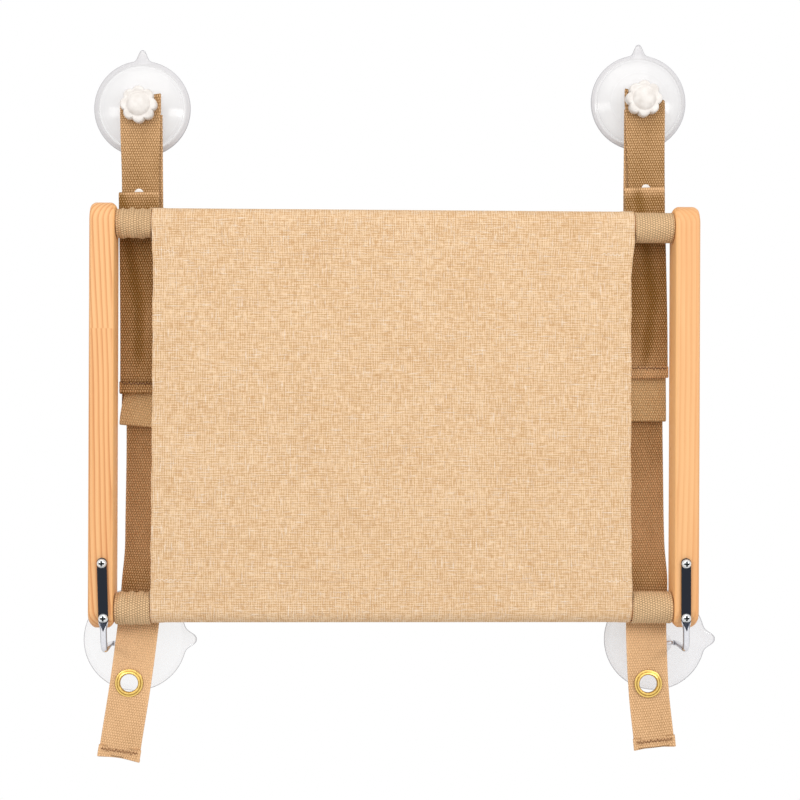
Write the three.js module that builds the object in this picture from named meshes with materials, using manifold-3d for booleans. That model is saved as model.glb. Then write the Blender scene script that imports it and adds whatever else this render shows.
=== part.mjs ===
// Window-mounted pet hammock bed, folded up against the glass. Millimetres, +Z up.
// The glass is the plane y = 0 and everything lies in front of it, at negative y.
// z = 0 is the height of the hinge pins in the two lower suction cups, x = 0 the middle.

import * as THREE from 'three';
import { mergeVertices } from 'three/addons/utils/BufferGeometryUtils.js';
import Module from 'manifold-3d';

const wasm = await Module();
wasm.setup();

// Wooden frame
const frameWidth = 471;
const railThickness = 19;
const railDepth = 30;
const railEdgeRound = 3;
const rodDiameter = 19;
const rodSpacing = 298.6;
const rodSetOut = 41;
const rearRodHeight = 30.2;
const mortiseDepth = 5.5;
const woodClearance = 0.2;

// Cloth sling
const slingRailGap = 31;
const slingOffset = -2.7;
const slingThickness = 1.2;
const pocketClearance = 0.3;
const frontSeamInset = 35;
const rearSeamInset = 33;
const seamAllowance = 4;

// Webbing straps
const webbingWidth = 32;
const webbingThickness = 1.6;
const layerGap = 1.2;
const leftStrapInset = 35.3;
const rightStrapInset = 37.2;
const strapSetOut = 17;
const strapTopRise = 10;
const anchorDrop = 15;
const leftDropLength = 234.9;
const rightDropLength = 238.2;
const leftReturnLength = 179.6;
const rightReturnLength = 181.2;
const leftEndLength = 155.2;
const rightEndLength = 148.2;
const hemLength = 8;
const hemStep = 1.4;
const leftBackStrapInset = 38.7;
const rightBackStrapInset = 36.1;
const leftTailInset = 35.6;
const rightTailInset = 36.5;
const leftTailLength = 106.8;
const rightTailLength = 99.7;
const leftTailSlant = THREE.MathUtils.degToRad(8.1);
const rightTailSlant = THREE.MathUtils.degToRad(-3.7);
const clothGap = 0.4;
const pieceGap = 0.3;
const backStrapBendLength = 42;

// Sleeves of webbing on the rod ends
const sleeveWall = 2.2;
const sleeveEndGap = 0.4;

// Brass eyelets in the tails
const eyeletDrop = 48;
const eyeletOuterDiameter = 22;
const eyeletBoreDiameter = 13.8;
const eyeletSheet = 0.7;
const eyeletCrown = 0.5;

// White studs on the straps
const strapStudDiameter = 7.4;
const strapStudRise = 2.4;

// Upper suction cups, their studs and the clamp knobs
const leftCupInset = 33.7;
const rightCupInset = 39.4;
const leftCupHeight = 422.8;
const rightCupHeight = 431.2;
const upperCupDiameter = 76.5;
const upperCupDepth = 12.5;
const upperCupHollow = 8.5;
const upperRimFlat = 2.5;
const upperRimThickness = 1.8;
const upperBossDiameter = 18;
const studDiameter = 6;
const studClearance = 0.3;
const studSeatSetOut = 9.6;
const studTipSetOut = 28.5;
const knobDiameter = 29;
const knobLobeHeight = 1.3;
const knobThickness = 9;
const knobEdgeRound = 1.6;
const knobCrownDiameter = 17;
const knobCrownRise = 2.6;
const knobLobes = 8;

// Lower suction cups
const leftLowerCupInset = 29.3;
const rightLowerCupInset = 24.9;
const lowerCupDiameter = 82;
const lowerRimThickness = 1.2;
const lowerCupThickness = 3.4;
const lowerFootDiameter = 26;
const lowerHeadDiameter = 18;
const lowerHeadSetOut = 26;
const lowerHeadRound = 2;

// Pull tabs on the cups
const upperTabWidth = 12;
const upperTabLength = 8.5;
const lowerTabWidth = 16;
const lowerTabLength = 7.8;
const tabTipWidth = 3;
const tabThickness = 1.2;
const tabRoot = 2;

// Pivot brackets: flattened strip and round pin rod
const bracketInset = 11;
const bracketRodDiameter = 5;
const bracketStripWidth = 7.5;
const bracketStripThickness = 2.2;
const bracketTopHeight = 71.2;
const bracketTipHeight = 13.6;
const bracketTaperHeight = 21;
const bracketTipWidth = 3;
const bracketRodTopHeight = 18;
const bracketBend = 6;
const pinSetOut = 20;
const pinReach = 20;
const pinClearance = 0.35;
const seatGap = 0.1;

// Screws
const upperScrewHeight = 66.1;
const lowerScrewHeight = 24.4;
const bracketScrewHeadDiameter = 7.4;
const bracketScrewHeadRise = 2.2;
const bracketScrewDiameter = 3.6;
const bracketScrewLength = 13;
const screwClearance = 0.25;
const recessWidth = 1.1;
const recessLength = 4;
const recessDepth = 1.2;
const rodScrewHeadDiameter = 8;
const rodScrewHeadDepth = 3;
const rodScrewDiameter = 4;
const rodScrewLength = 32;

// How finely round shapes are stepped
const cupSides = 36;
const roundSides = 20;
const holeSides = 16;
const screwSides = 12;
const curveSteps = 5;
const wireSteps = 26;
const pocketSteps = 12;
const foldSteps = 6;
const crownSteps = 4;
const bevelSteps = 2;
const domeSteps = 5;
const bendSteps = 6;
const knobSteps = 48;
const cutOverrun = 1;
const weldDistance = 1e-4;

const railOuter = frameWidth / 2;
const railInner = railOuter - railThickness;
const slingWidth = 2 * (railInner - slingRailGap);
const bracketOffset = railOuter - bracketInset;
const railFrontSetOut = rodSetOut + railDepth / 2;
const rodRadius = rodDiameter / 2;
const frontRodHeight = rearRodHeight + rodSpacing;
const pocketRadius = rodRadius + pocketClearance;
const pocketOuterRadius = pocketRadius + slingThickness;
const sleeveOuterRadius = pocketRadius + sleeveWall;
const layerPitch = webbingThickness + layerGap;
const foldRadius = layerPitch / 2;
const dropSetOut = strapSetOut + layerPitch;
const returnSetOut = dropSetOut + layerPitch;
const endSetOut = returnSetOut + layerPitch;
const tailSetOut = rodSetOut - sleeveOuterRadius - clothGap - webbingThickness / 2;
const tailPivotHeight = rearRodHeight - sleeveOuterRadius - clothGap - webbingThickness / 2;
const bossFrontSetOut = strapSetOut - webbingThickness / 2 - pieceGap;
const knobBackSetOut = dropSetOut + webbingThickness / 2 + pieceGap;

const leftSide = {
  name: 'left',
  sign: -1,
  strapX: leftStrapInset - railOuter,
  cupX: leftCupInset - railOuter,
  cupHeight: leftCupHeight,
  strapPivotHeight: leftCupHeight - anchorDrop - pieceGap,
  dropLength: leftDropLength,
  returnLength: leftReturnLength,
  endLength: leftEndLength,
  slingEdge: slingWidth / 2 - slingOffset,
  backStrapOffset: railOuter - leftBackStrapInset,
  lowerCupOffset: railOuter - leftLowerCupInset,
  tailX: leftTailInset - railOuter,
  tailSlant: leftTailSlant,
  tailLength: leftTailLength,
};
const rightSide = {
  name: 'right',
  sign: 1,
  strapX: railOuter - rightStrapInset,
  cupX: railOuter - rightCupInset,
  cupHeight: rightCupHeight,
  strapPivotHeight: rightCupHeight - anchorDrop - pieceGap,
  dropLength: rightDropLength,
  returnLength: rightReturnLength,
  endLength: rightEndLength,
  slingEdge: slingWidth / 2 + slingOffset,
  backStrapOffset: railOuter - rightBackStrapInset,
  lowerCupOffset: railOuter - rightLowerCupInset,
  tailX: railOuter - rightTailInset,
  tailSlant: rightTailSlant,
  tailLength: rightTailLength,
};
const sides = [leftSide, rightSide];

const pine = { color: 0xefc68f, roughness: 0.55, metalness: 0 };
const linen = { color: 0xdcc199, roughness: 0.95, metalness: 0 };
const webbing = { color: 0xb48c58, roughness: 0.9, metalness: 0 };
const clearVinyl = { color: 0xe8eef0, roughness: 0.15, metalness: 0 };
const milkyPlastic = { color: 0xf1f3f2, roughness: 0.35, metalness: 0 };
const zincSteel = { color: 0xb9bec4, roughness: 0.3, metalness: 1 };
const brass = { color: 0xb8902f, roughness: 0.3, metalness: 1 };

// Turns a closed geometry into a solid that can be cut and joined
function solid(geometry) {
  const bare = geometry.clone();
  bare.deleteAttribute('normal');
  bare.deleteAttribute('uv');
  const merged = mergeVertices(bare, weldDistance);
  return new wasm.Manifold(new wasm.Mesh({
    numProp: 3,
    vertProperties: Float32Array.from(merged.attributes.position.array),
    triVerts: Uint32Array.from(merged.index.array),
  }));
}

// Turns a solid back into a geometry
function geometryOf(body) {
  const mesh = body.getMesh();
  const geometry = new THREE.BufferGeometry();
  geometry.setAttribute('position', new THREE.BufferAttribute(mesh.vertProperties, mesh.numProp));
  geometry.setIndex(new THREE.BufferAttribute(mesh.triVerts, 1));
  geometry.computeVertexNormals();
  return geometry;
}

const bed = new THREE.Group();

// Adds one named piece to the object
function add(name, geometry, finish, position = new THREE.Vector3()) {
  const mesh = new THREE.Mesh(geometry, new THREE.MeshStandardMaterial(finish));
  mesh.name = name;
  mesh.position.copy(position);
  bed.add(mesh);
  return mesh;
}

// Turns a shape drawn in (y, z) and extruded by depth so that it runs along X, centred on x = 0
function alongX(shape, depth, options = {}) {
  const settings = { depth, bevelEnabled: false, curveSegments: curveSteps, ...options };
  const geometry = new THREE.ExtrudeGeometry(shape, settings);
  geometry.translate(0, 0, -depth / 2);
  const toX = new THREE.Matrix4().makeBasis(
    new THREE.Vector3(0, 1, 0),
    new THREE.Vector3(0, 0, 1),
    new THREE.Vector3(1, 0, 0),
  );
  return geometry.applyMatrix4(toX);
}

// Turns a shape drawn in (x, z) and extruded by depth so that it runs from y = 0 towards the room
function alongY(shape, depth, options = {}) {
  const settings = { depth, bevelEnabled: false, curveSegments: curveSteps, ...options };
  const geometry = new THREE.ExtrudeGeometry(shape, settings);
  const toY = new THREE.Matrix4().makeBasis(
    new THREE.Vector3(1, 0, 0),
    new THREE.Vector3(0, 0, 1),
    new THREE.Vector3(0, -1, 0),
  );
  return geometry.applyMatrix4(toY);
}

// A round bar along X from one x to another
function barX(radius, fromX, toX, y, z, steps = roundSides) {
  const geometry = new THREE.CylinderGeometry(radius, radius, Math.abs(toX - fromX), steps);
  geometry.rotateZ(Math.PI / 2);
  return geometry.translate((fromX + toX) / 2, y, z);
}

// A round bar along Y from one y to another
function barY(radius, fromY, toY, x, z, steps = roundSides) {
  const geometry = new THREE.CylinderGeometry(radius, radius, Math.abs(toY - fromY), steps);
  return geometry.translate(x, (fromY + toY) / 2, z);
}

// The outline of a band of even thickness along a centre line drawn in (y, z)
function bandShape(points, thickness) {
  const near = [];
  const far = [];
  points.forEach((point, i) => {
    const before = points[Math.max(i - 1, 0)];
    const after = points[Math.min(i + 1, points.length - 1)];
    const along = after.clone().sub(before).normalize();
    const across = new THREE.Vector2(-along.y, along.x).multiplyScalar(thickness / 2);
    near.push(point.clone().add(across));
    far.unshift(point.clone().sub(across));
  });
  return new THREE.Shape([...near, ...far]);
}

// Centre-line points of a half turn from one strap layer to the next, folding over or under
function foldPoints(setOut, height, upwards) {
  const points = [];
  for (let i = 0; i <= foldSteps; i += 1) {
    const angle = Math.PI * i / foldSteps;
    const rise = foldRadius * Math.sin(angle) * (upwards ? 1 : -1);
    points.push(new THREE.Vector2(-setOut - foldRadius + foldRadius * Math.cos(angle), height + rise));
  }
  return points;
}

// The outline of a bar with half-round ends, drawn upwards from its lower centre
function roundEndedShape(radius, length) {
  const shape = new THREE.Shape();
  shape.absarc(0, length, radius, 0, Math.PI, false);
  shape.absarc(0, 0, radius, Math.PI, 2 * Math.PI, false);
  return shape;
}

// Side rails: half-round ends about the rods, rounded edges, a mortise for each rod and the screw holes
function sideRail(side) {
  const radius = railDepth / 2 - railEdgeRound;
  const outline = roundEndedShape(radius, rodSpacing);
  const blank = alongX(outline, railThickness - 2 * railEdgeRound, {
    bevelEnabled: true,
    bevelSize: railEdgeRound,
    bevelThickness: railEdgeRound,
    bevelSegments: bevelSteps,
  });
  const centreX = side.sign * (railOuter - railThickness / 2);
  blank.translate(centreX, -rodSetOut, rearRodHeight);
  let body = solid(blank);
  const innerX = side.sign * (railInner - cutOverrun);
  const mortiseX = side.sign * (railInner + mortiseDepth + woodClearance);
  const outerX = side.sign * (railOuter + cutOverrun);
  for (const height of [rearRodHeight, frontRodHeight]) {
    const mortise = barX(rodRadius + woodClearance, innerX, mortiseX, -rodSetOut, height, holeSides);
    const holeRadius = rodScrewDiameter / 2 + screwClearance;
    const screwHole = barX(holeRadius, innerX, outerX, -rodSetOut, height, screwSides);
    body = body.subtract(solid(mortise)).subtract(solid(screwHole));
    body = body.subtract(solid(countersink(side, height)));
  }
  for (const height of [upperScrewHeight, lowerScrewHeight]) {
    const endY = -railFrontSetOut + bracketScrewLength + cutOverrun;
    const radiusY = bracketScrewDiameter / 2 + screwClearance;
    const hole = barY(radiusY, -railFrontSetOut - cutOverrun, endY, side.sign * bracketOffset, height, screwSides);
    body = body.subtract(solid(hole));
  }
  return geometryOf(body);
}

// The cone that a countersunk head needs in the rail's outer face
function countersink(side, height) {
  const wide = rodScrewHeadDiameter / 2 + screwClearance;
  const narrow = rodScrewDiameter / 2 + screwClearance;
  const cone = new THREE.CylinderGeometry(wide, narrow, rodScrewHeadDepth, screwSides);
  cone.rotateZ(-side.sign * Math.PI / 2);
  return cone.translate(side.sign * (railOuter - rodScrewHeadDepth / 2), -rodSetOut, height);
}

// Rods: dowels that end in the mortises, with a pilot hole in each end
function rod(height) {
  const endX = railInner + mortiseDepth;
  let body = solid(barX(rodRadius, -endX, endX, -rodSetOut, height));
  for (const side of sides) {
    const tipX = side.sign * (railOuter - rodScrewLength - cutOverrun);
    const radius = rodScrewDiameter / 2 + screwClearance;
    const pilot = barX(radius, tipX, side.sign * (endX + cutOverrun), -rodSetOut, height, screwSides);
    body = body.subtract(solid(pilot));
  }
  return geometryOf(body);
}

// The point where a line from outside touches a circle about (0, 0), on the side away from the panel
function touchPoint(from, radius) {
  const distance = from.length();
  const spread = Math.acos(radius / distance);
  const bearing = Math.atan2(from.y, from.x);
  const angle = bearing - spread * Math.sign(from.y);
  return new THREE.Vector2(radius * Math.cos(angle), radius * Math.sin(angle));
}

// Points round a rod from its panel side, over the outside of the bed, to where the flap leaves it
function pocketArc(radius, seam, up) {
  const leave = touchPoint(seam, radius);
  const last = Math.atan2(leave.y * up, leave.x);
  const points = [];
  for (let i = 0; i <= pocketSteps; i += 1) {
    const angle = Math.PI + (last - Math.PI) * i / pocketSteps;
    points.push(new THREE.Vector2(radius * Math.cos(angle), radius * Math.sin(angle) * up));
  }
  return points;
}

// Sling: one tight cloth on the room side of both rods, turned round each and sewn down as a pocket
function sling() {
  const panelBack = -pocketRadius;
  const flapFace = panelBack + slingThickness;
  const frontSeam = new THREE.Vector2(flapFace, pocketOuterRadius - frontSeamInset);
  const rearSeam = new THREE.Vector2(flapFace, rearSeamInset - pocketOuterRadius);
  const rise = new THREE.Vector2(0, rodSpacing);
  const upper = pocketArc(pocketOuterRadius, frontSeam, 1).map((p) => p.add(rise));
  const lower = pocketArc(pocketOuterRadius, rearSeam, -1).reverse();
  const outline = new THREE.Shape([
    ...upper,
    frontSeam.clone().add(rise),
    new THREE.Vector2(panelBack, frontSeam.y + rodSpacing),
    new THREE.Vector2(panelBack, rearSeam.y),
    rearSeam,
    ...lower,
  ].reverse());
  const frontTip = new THREE.Vector2(panelBack, frontSeam.y + seamAllowance);
  const rearTip = new THREE.Vector2(panelBack, rearSeam.y - seamAllowance);
  const upperHole = pocketArc(pocketRadius, frontTip, 1).map((p) => p.add(rise));
  outline.holes.push(new THREE.Path([...upperHole, frontTip.clone().add(rise)]));
  outline.holes.push(new THREE.Path([...pocketArc(pocketRadius, rearTip, -1), rearTip]));
  return alongX(outline, slingWidth).translate(slingOffset, -rodSetOut, rearRodHeight);
}

// Rod sleeves: a turn of webbing round each rod end, between the sling and the rail
function rodSleeve(side) {
  const ring = new THREE.Shape().absarc(0, 0, sleeveOuterRadius, 0, 2 * Math.PI, false);
  ring.holes.push(new THREE.Path().absarc(0, 0, pocketRadius, 0, 2 * Math.PI, true));
  const length = railInner - side.slingEdge - 2 * sleeveEndGap;
  return alongX(ring, length, { curveSegments: roundSides / 2 });
}

// Strap anchor: the webbing folded over the stud, both layers with a hole for it
function strapAnchor(side) {
  const foldHeight = side.cupHeight + strapTopRise - foldRadius - webbingThickness / 2;
  const anchorEnd = side.cupHeight - anchorDrop;
  const line = [
    new THREE.Vector2(-strapSetOut, anchorEnd),
    ...foldPoints(strapSetOut, foldHeight, true),
    new THREE.Vector2(-dropSetOut, anchorEnd),
  ];
  const band = solid(alongX(bandShape(line, webbingThickness), webbingWidth));
  const holeX = side.cupX - side.strapX;
  const hole = barY(studDiameter / 2 + studClearance, 0, -knobBackSetOut, holeX, side.cupHeight, holeSides);
  return geometryOf(band.subtract(solid(hole)));
}

// Strap drop: the front leg from the cup down to the lower fold
function strapDrop(side) {
  const line = [
    new THREE.Vector2(-dropSetOut, side.strapPivotHeight),
    new THREE.Vector2(-dropSetOut, side.strapPivotHeight - side.dropLength + pieceGap),
  ];
  return alongX(bandShape(line, webbingThickness), webbingWidth);
}

// Strap return: the lower fold and the stretch that runs back up behind the frame
function strapReturn(side) {
  const foldHeight = side.strapPivotHeight - side.dropLength;
  const line = [
    ...foldPoints(dropSetOut, foldHeight, false),
    new THREE.Vector2(-returnSetOut, foldHeight + side.returnLength - pieceGap),
  ];
  return alongX(bandShape(line, webbingThickness), webbingWidth);
}

// Strap end: the upper fold and the hemmed end that hangs in front
function strapEnd(side) {
  const foldHeight = side.strapPivotHeight - side.dropLength + side.returnLength;
  const hemHeight = foldHeight - side.endLength;
  const line = [...foldPoints(returnSetOut, foldHeight, true), new THREE.Vector2(-endSetOut, hemHeight)];
  const hemSetOut = endSetOut + hemStep;
  const hemTop = new THREE.Vector2(-hemSetOut, hemHeight + hemLength);
  const hem = [hemTop, new THREE.Vector2(-hemSetOut, hemHeight)];
  const band = solid(alongX(bandShape(line, webbingThickness), webbingWidth));
  return geometryOf(band.add(solid(alongX(bandShape(hem, webbingThickness), webbingWidth))));
}

// Back strap: the leg that runs down behind the frame and passes close behind the rear rod
function strapBack(side) {
  const bendTop = rearRodHeight + sleeveOuterRadius + backStrapBendLength;
  const bendEnd = rearRodHeight + sleeveOuterRadius;
  const line = [new THREE.Vector2(-strapSetOut, side.strapPivotHeight)];
  for (let i = 0; i <= bendSteps; i += 1) {
    const share = i / bendSteps;
    const y = THREE.MathUtils.lerp(-strapSetOut, -tailSetOut, THREE.MathUtils.smootherstep(share, 0, 1));
    line.push(new THREE.Vector2(y, THREE.MathUtils.lerp(bendTop, bendEnd, share)));
  }
  line.push(new THREE.Vector2(-tailSetOut, tailPivotHeight + pieceGap));
  const geometry = alongX(bandShape(line, webbingThickness), webbingWidth);
  const place = geometry.attributes.position;
  for (let i = 0; i < place.count; i += 1) {
    place.setX(i, place.getX(i) + backStrapX(side, place.getZ(i)));
  }
  return geometry;
}

// The sideways place of the back strap's middle at a height: cup, then middle stretch, then tail
function backStrapX(side, height) {
  const middleHeight = rearRodHeight + rodSpacing / 2;
  const middleX = side.sign * side.backStrapOffset;
  if (height > middleHeight) {
    const share = THREE.MathUtils.smoothstep(height, middleHeight, side.strapPivotHeight);
    return THREE.MathUtils.lerp(middleX, side.strapX, share);
  }
  const share = THREE.MathUtils.smoothstep(height, tailPivotHeight, middleHeight);
  return THREE.MathUtils.lerp(side.tailX, middleX, share);
}

// Strap tail: the hemmed end below the rear rod, with the hole for its eyelet, drawn from its top
function strapTail(side) {
  const line = [new THREE.Vector2(0, webbingWidth / 2), new THREE.Vector2(0, -side.tailLength)];
  const hemY = -hemStep;
  const hemTop = new THREE.Vector2(hemY, hemLength - side.tailLength);
  const hem = [hemTop, new THREE.Vector2(hemY, -side.tailLength)];
  let body = solid(alongX(bandShape(line, webbingThickness), webbingWidth));
  body = body.add(solid(alongX(bandShape(hem, webbingThickness), webbingWidth)));
  const boreRadius = eyeletBoreDiameter / 2 + eyeletSheet + pieceGap;
  const hole = barY(boreRadius, webbingWidth, -webbingWidth, 0, -eyeletDrop, holeSides);
  const slanted = geometryOf(body.subtract(solid(hole))).rotateY(side.tailSlant);
  const above = new THREE.BoxGeometry(side.tailLength, side.tailLength, side.tailLength);
  return geometryOf(solid(slanted).subtract(solid(above.translate(0, 0, side.tailLength / 2))));
}

// Tail eyelet: a rolled brass barrel with a crowned flange on each face of the webbing
function tailEyelet() {
  const bore = eyeletBoreDiameter / 2;
  const outer = eyeletOuterDiameter / 2;
  const inside = webbingThickness / 2 + pieceGap;
  const outside = inside + eyeletSheet;
  const crown = outside + eyeletCrown;
  const crownRadius = (bore + outer) / 2;
  const profile = [
    [bore, -outside],
    [crownRadius, -crown],
    [outer, -outside],
    [outer, -inside],
    [bore + eyeletSheet, -inside],
    [bore + eyeletSheet, inside],
    [outer, inside],
    [outer, outside],
    [crownRadius, crown],
    [bore, outside],
    [bore, -outside],
  ];
  return new THREE.LatheGeometry(profile.map(([r, y]) => new THREE.Vector2(r, y)), roundSides);
}

// Strap stud: a low domed snap head on the front of the strap, just above the upper fold
function strapStud() {
  const radius = strapStudDiameter / 2;
  const rise = layerGap - pieceGap - seatGap;
  const profile = [new THREE.Vector2(0, 0), new THREE.Vector2(radius, 0)];
  for (let i = 1; i <= crownSteps; i += 1) {
    const angle = Math.PI / 2 * i / crownSteps;
    profile.push(new THREE.Vector2(radius * Math.cos(angle), rise * Math.sin(angle)));
  }
  return new THREE.LatheGeometry(profile, screwSides).rotateX(Math.PI);
}

// A pull tab that points along +Z from the edge of a cup of the given radius
function pullTab(radius, width, length) {
  const root = radius - tabRoot;
  const shape = new THREE.Shape([
    new THREE.Vector2(-width / 2, root),
    new THREE.Vector2(width / 2, root),
    new THREE.Vector2(tabTipWidth / 2, radius + length),
    new THREE.Vector2(-tabTipWidth / 2, radius + length),
  ]);
  return alongY(shape, tabThickness);
}

// Upper cup: a domed suction cup with a boss for the stud, about the axis y
function upperCup() {
  const radius = upperCupDiameter / 2;
  const boss = upperBossDiameter / 2;
  const bore = studDiameter / 2 + studClearance;
  const boreEnd = studSeatSetOut - pieceGap;
  const profile = [[0, -boreEnd], [bore, -boreEnd], [bore, -bossFrontSetOut], [boss, -bossFrontSetOut]];
  for (let i = 0; i <= domeSteps; i += 1) {
    const share = i / domeSteps;
    const fall = 1 - share ** 2;
    profile.push([
      THREE.MathUtils.lerp(boss, radius, share),
      -THREE.MathUtils.lerp(upperRimThickness, upperCupDepth, fall),
    ]);
  }
  profile.push([radius, 0]);
  for (let i = domeSteps; i >= 0; i -= 1) {
    const share = i / domeSteps;
    profile.push([(radius - upperRimFlat) * share, -upperCupHollow * (1 - share ** 2)]);
  }
  const dome = new THREE.LatheGeometry(profile.map(([r, y]) => new THREE.Vector2(r, y)), cupSides);
  return geometryOf(solid(dome).add(solid(pullTab(radius, upperTabWidth, upperTabLength))));
}

// Lower cup: a suction cup pressed flat on the glass, with a head that holds the hinge pin
function lowerCup(side) {
  const radius = lowerCupDiameter / 2;
  const foot = lowerFootDiameter / 2;
  const head = lowerHeadDiameter / 2;
  const profile = [
    [0, -lowerHeadSetOut],
    [head - lowerHeadRound, -lowerHeadSetOut],
    [head, -lowerHeadSetOut + lowerHeadRound],
    [head, -lowerCupThickness - lowerHeadRound],
    [foot, -lowerCupThickness],
    [radius, -lowerRimThickness],
    [radius, 0],
    [0, 0],
  ];
  const dome = new THREE.LatheGeometry(profile.map(([r, y]) => new THREE.Vector2(r, y)), cupSides);
  const tab = pullTab(radius, lowerTabWidth, lowerTabLength).rotateY(Math.PI / 2);
  const inner = side.sign * (bracketOffset - pinReach - side.lowerCupOffset - pieceGap);
  const hole = barX(bracketRodDiameter / 2 + pinClearance, inner, side.sign * radius, -pinSetOut, 0, holeSides);
  return geometryOf(solid(dome).add(solid(tab)).subtract(solid(hole)));
}

// Cup stud: the threaded post, taken as a plain shank, that carries the strap and the knob
function cupStud() {
  return barY(studDiameter / 2, -studSeatSetOut, -studTipSetOut, 0, 0, roundSides);
}

// Clamp knob: a lobed knob with a crowned front, bored for the stud
function clampKnob() {
  const middle = knobDiameter / 2 - knobLobeHeight - knobEdgeRound;
  const points = [];
  for (let i = 0; i < knobSteps; i += 1) {
    const angle = 2 * Math.PI * i / knobSteps;
    const radius = middle + knobLobeHeight * Math.cos(knobLobes * angle);
    points.push(new THREE.Vector2(radius * Math.cos(angle), radius * Math.sin(angle)));
  }
  const lobed = alongY(new THREE.Shape(points), knobThickness - 2 * knobEdgeRound, {
    bevelEnabled: true,
    bevelSize: knobEdgeRound,
    bevelThickness: knobEdgeRound,
    bevelSegments: bevelSteps,
  }).translate(0, -knobEdgeRound, 0);
  const crownRadius = knobCrownDiameter / 2;
  const profile = [new THREE.Vector2(0, 0), new THREE.Vector2(crownRadius, 0)];
  for (let i = 0; i <= crownSteps; i += 1) {
    const angle = Math.PI / 2 * i / crownSteps;
    profile.push(new THREE.Vector2(
      crownRadius * Math.cos(angle),
      knobThickness - knobEdgeRound + (knobCrownRise + knobEdgeRound) * Math.sin(angle),
    ));
  }
  const crown = new THREE.LatheGeometry(profile, roundSides).rotateX(Math.PI);
  crown.translate(0, -knobEdgeRound, 0);
  const boreDepth = studTipSetOut - knobBackSetOut + pieceGap;
  const bore = barY(studDiameter / 2 + studClearance, cutOverrun, -boreDepth, 0, 0, holeSides);
  return geometryOf(solid(lobed).add(solid(crown)).subtract(solid(bore)));
}

// Pivot bracket: a flat strip on the rail's front, then a round rod bent back and in as the hinge pin
function pivotBracket(side) {
  const x = side.sign * bracketOffset;
  const faceY = -railFrontSetOut - seatGap;
  const half = bracketStripWidth / 2;
  const strip = new THREE.Shape();
  strip.absarc(0, bracketTopHeight - half, half, 0, Math.PI, false);
  strip.lineTo(-half, bracketTaperHeight);
  strip.lineTo(-bracketTipWidth / 2, bracketTipHeight);
  strip.lineTo(bracketTipWidth / 2, bracketTipHeight);
  strip.lineTo(half, bracketTaperHeight);
  let body = solid(alongY(strip, bracketStripThickness).translate(x, faceY, 0));
  const rodY = faceY - bracketRodDiameter / 2;
  const pinY = -pinSetOut;
  const pinEndX = x - side.sign * pinReach;
  const turnX = x - side.sign * bracketBend;
  const path = new THREE.CurvePath();
  path.add(new THREE.LineCurve3(
    new THREE.Vector3(x, rodY, bracketRodTopHeight),
    new THREE.Vector3(x, rodY, bracketBend),
  ));
  path.add(new THREE.QuadraticBezierCurve3(
    new THREE.Vector3(x, rodY, bracketBend),
    new THREE.Vector3(x, rodY, 0),
    new THREE.Vector3(x, rodY + bracketBend, 0),
  ));
  path.add(new THREE.LineCurve3(
    new THREE.Vector3(x, rodY + bracketBend, 0),
    new THREE.Vector3(x, pinY - bracketBend, 0),
  ));
  path.add(new THREE.QuadraticBezierCurve3(
    new THREE.Vector3(x, pinY - bracketBend, 0),
    new THREE.Vector3(x, pinY, 0),
    new THREE.Vector3(turnX, pinY, 0),
  ));
  path.add(new THREE.LineCurve3(new THREE.Vector3(turnX, pinY, 0), new THREE.Vector3(pinEndX, pinY, 0)));
  const section = new THREE.Shape().absarc(0, 0, bracketRodDiameter / 2, 0, 2 * Math.PI, false);
  const wire = new THREE.ExtrudeGeometry(section, {
    steps: wireSteps,
    curveSegments: curveSteps,
    bevelEnabled: false,
    extrudePath: path,
  });
  body = body.add(solid(wire));
  for (const height of [upperScrewHeight, lowerScrewHeight]) {
    const radius = bracketScrewDiameter / 2 + screwClearance;
    const hole = barY(radius, faceY + cutOverrun, faceY - bracketRodDiameter, x, height, screwSides);
    body = body.subtract(solid(hole));
  }
  return geometryOf(body);
}

// A cross recess, cut into a head whose top lies at the height given along +Y
function crossRecess(top) {
  const centreY = top - recessDepth / 2 + cutOverrun / 2;
  const first = new THREE.BoxGeometry(recessLength, recessDepth + cutOverrun, recessWidth);
  const second = new THREE.BoxGeometry(recessWidth, recessDepth + cutOverrun, recessLength);
  return solid(first.translate(0, centreY, 0)).add(solid(second.translate(0, centreY, 0)));
}

// Bracket screw: domed head on the strip and a shank into the rail, drawn with the head towards +Y
function bracketScrew() {
  const headRadius = bracketScrewHeadDiameter / 2;
  const shankRadius = bracketScrewDiameter / 2;
  const profile = [
    new THREE.Vector2(0, seatGap + bracketStripThickness - bracketScrewLength),
    new THREE.Vector2(shankRadius, seatGap + bracketStripThickness - bracketScrewLength),
    new THREE.Vector2(shankRadius, 0),
    new THREE.Vector2(headRadius, 0),
  ];
  for (let i = 1; i <= crownSteps; i += 1) {
    const angle = Math.PI / 2 * i / crownSteps;
    profile.push(new THREE.Vector2(headRadius * Math.cos(angle), bracketScrewHeadRise * Math.sin(angle)));
  }
  const body = solid(new THREE.LatheGeometry(profile, screwSides));
  return geometryOf(body.subtract(crossRecess(bracketScrewHeadRise))).rotateX(Math.PI);
}

// Rod screw: countersunk, flush with the rail's outer face, drawn with the head towards +Y
function rodScrew(side) {
  const profile = [
    new THREE.Vector2(0, -rodScrewLength),
    new THREE.Vector2(rodScrewDiameter / 2, -rodScrewLength),
    new THREE.Vector2(rodScrewDiameter / 2, -rodScrewHeadDepth),
    new THREE.Vector2(rodScrewHeadDiameter / 2, -seatGap),
    new THREE.Vector2(0, -seatGap),
  ];
  const body = solid(new THREE.LatheGeometry(profile, screwSides));
  return geometryOf(body.subtract(crossRecess(-seatGap))).rotateZ(-side.sign * Math.PI / 2);
}

add('front_rod', rod(frontRodHeight), pine);
add('rear_rod', rod(rearRodHeight), pine);
add('sling', sling(), linen);

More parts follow.
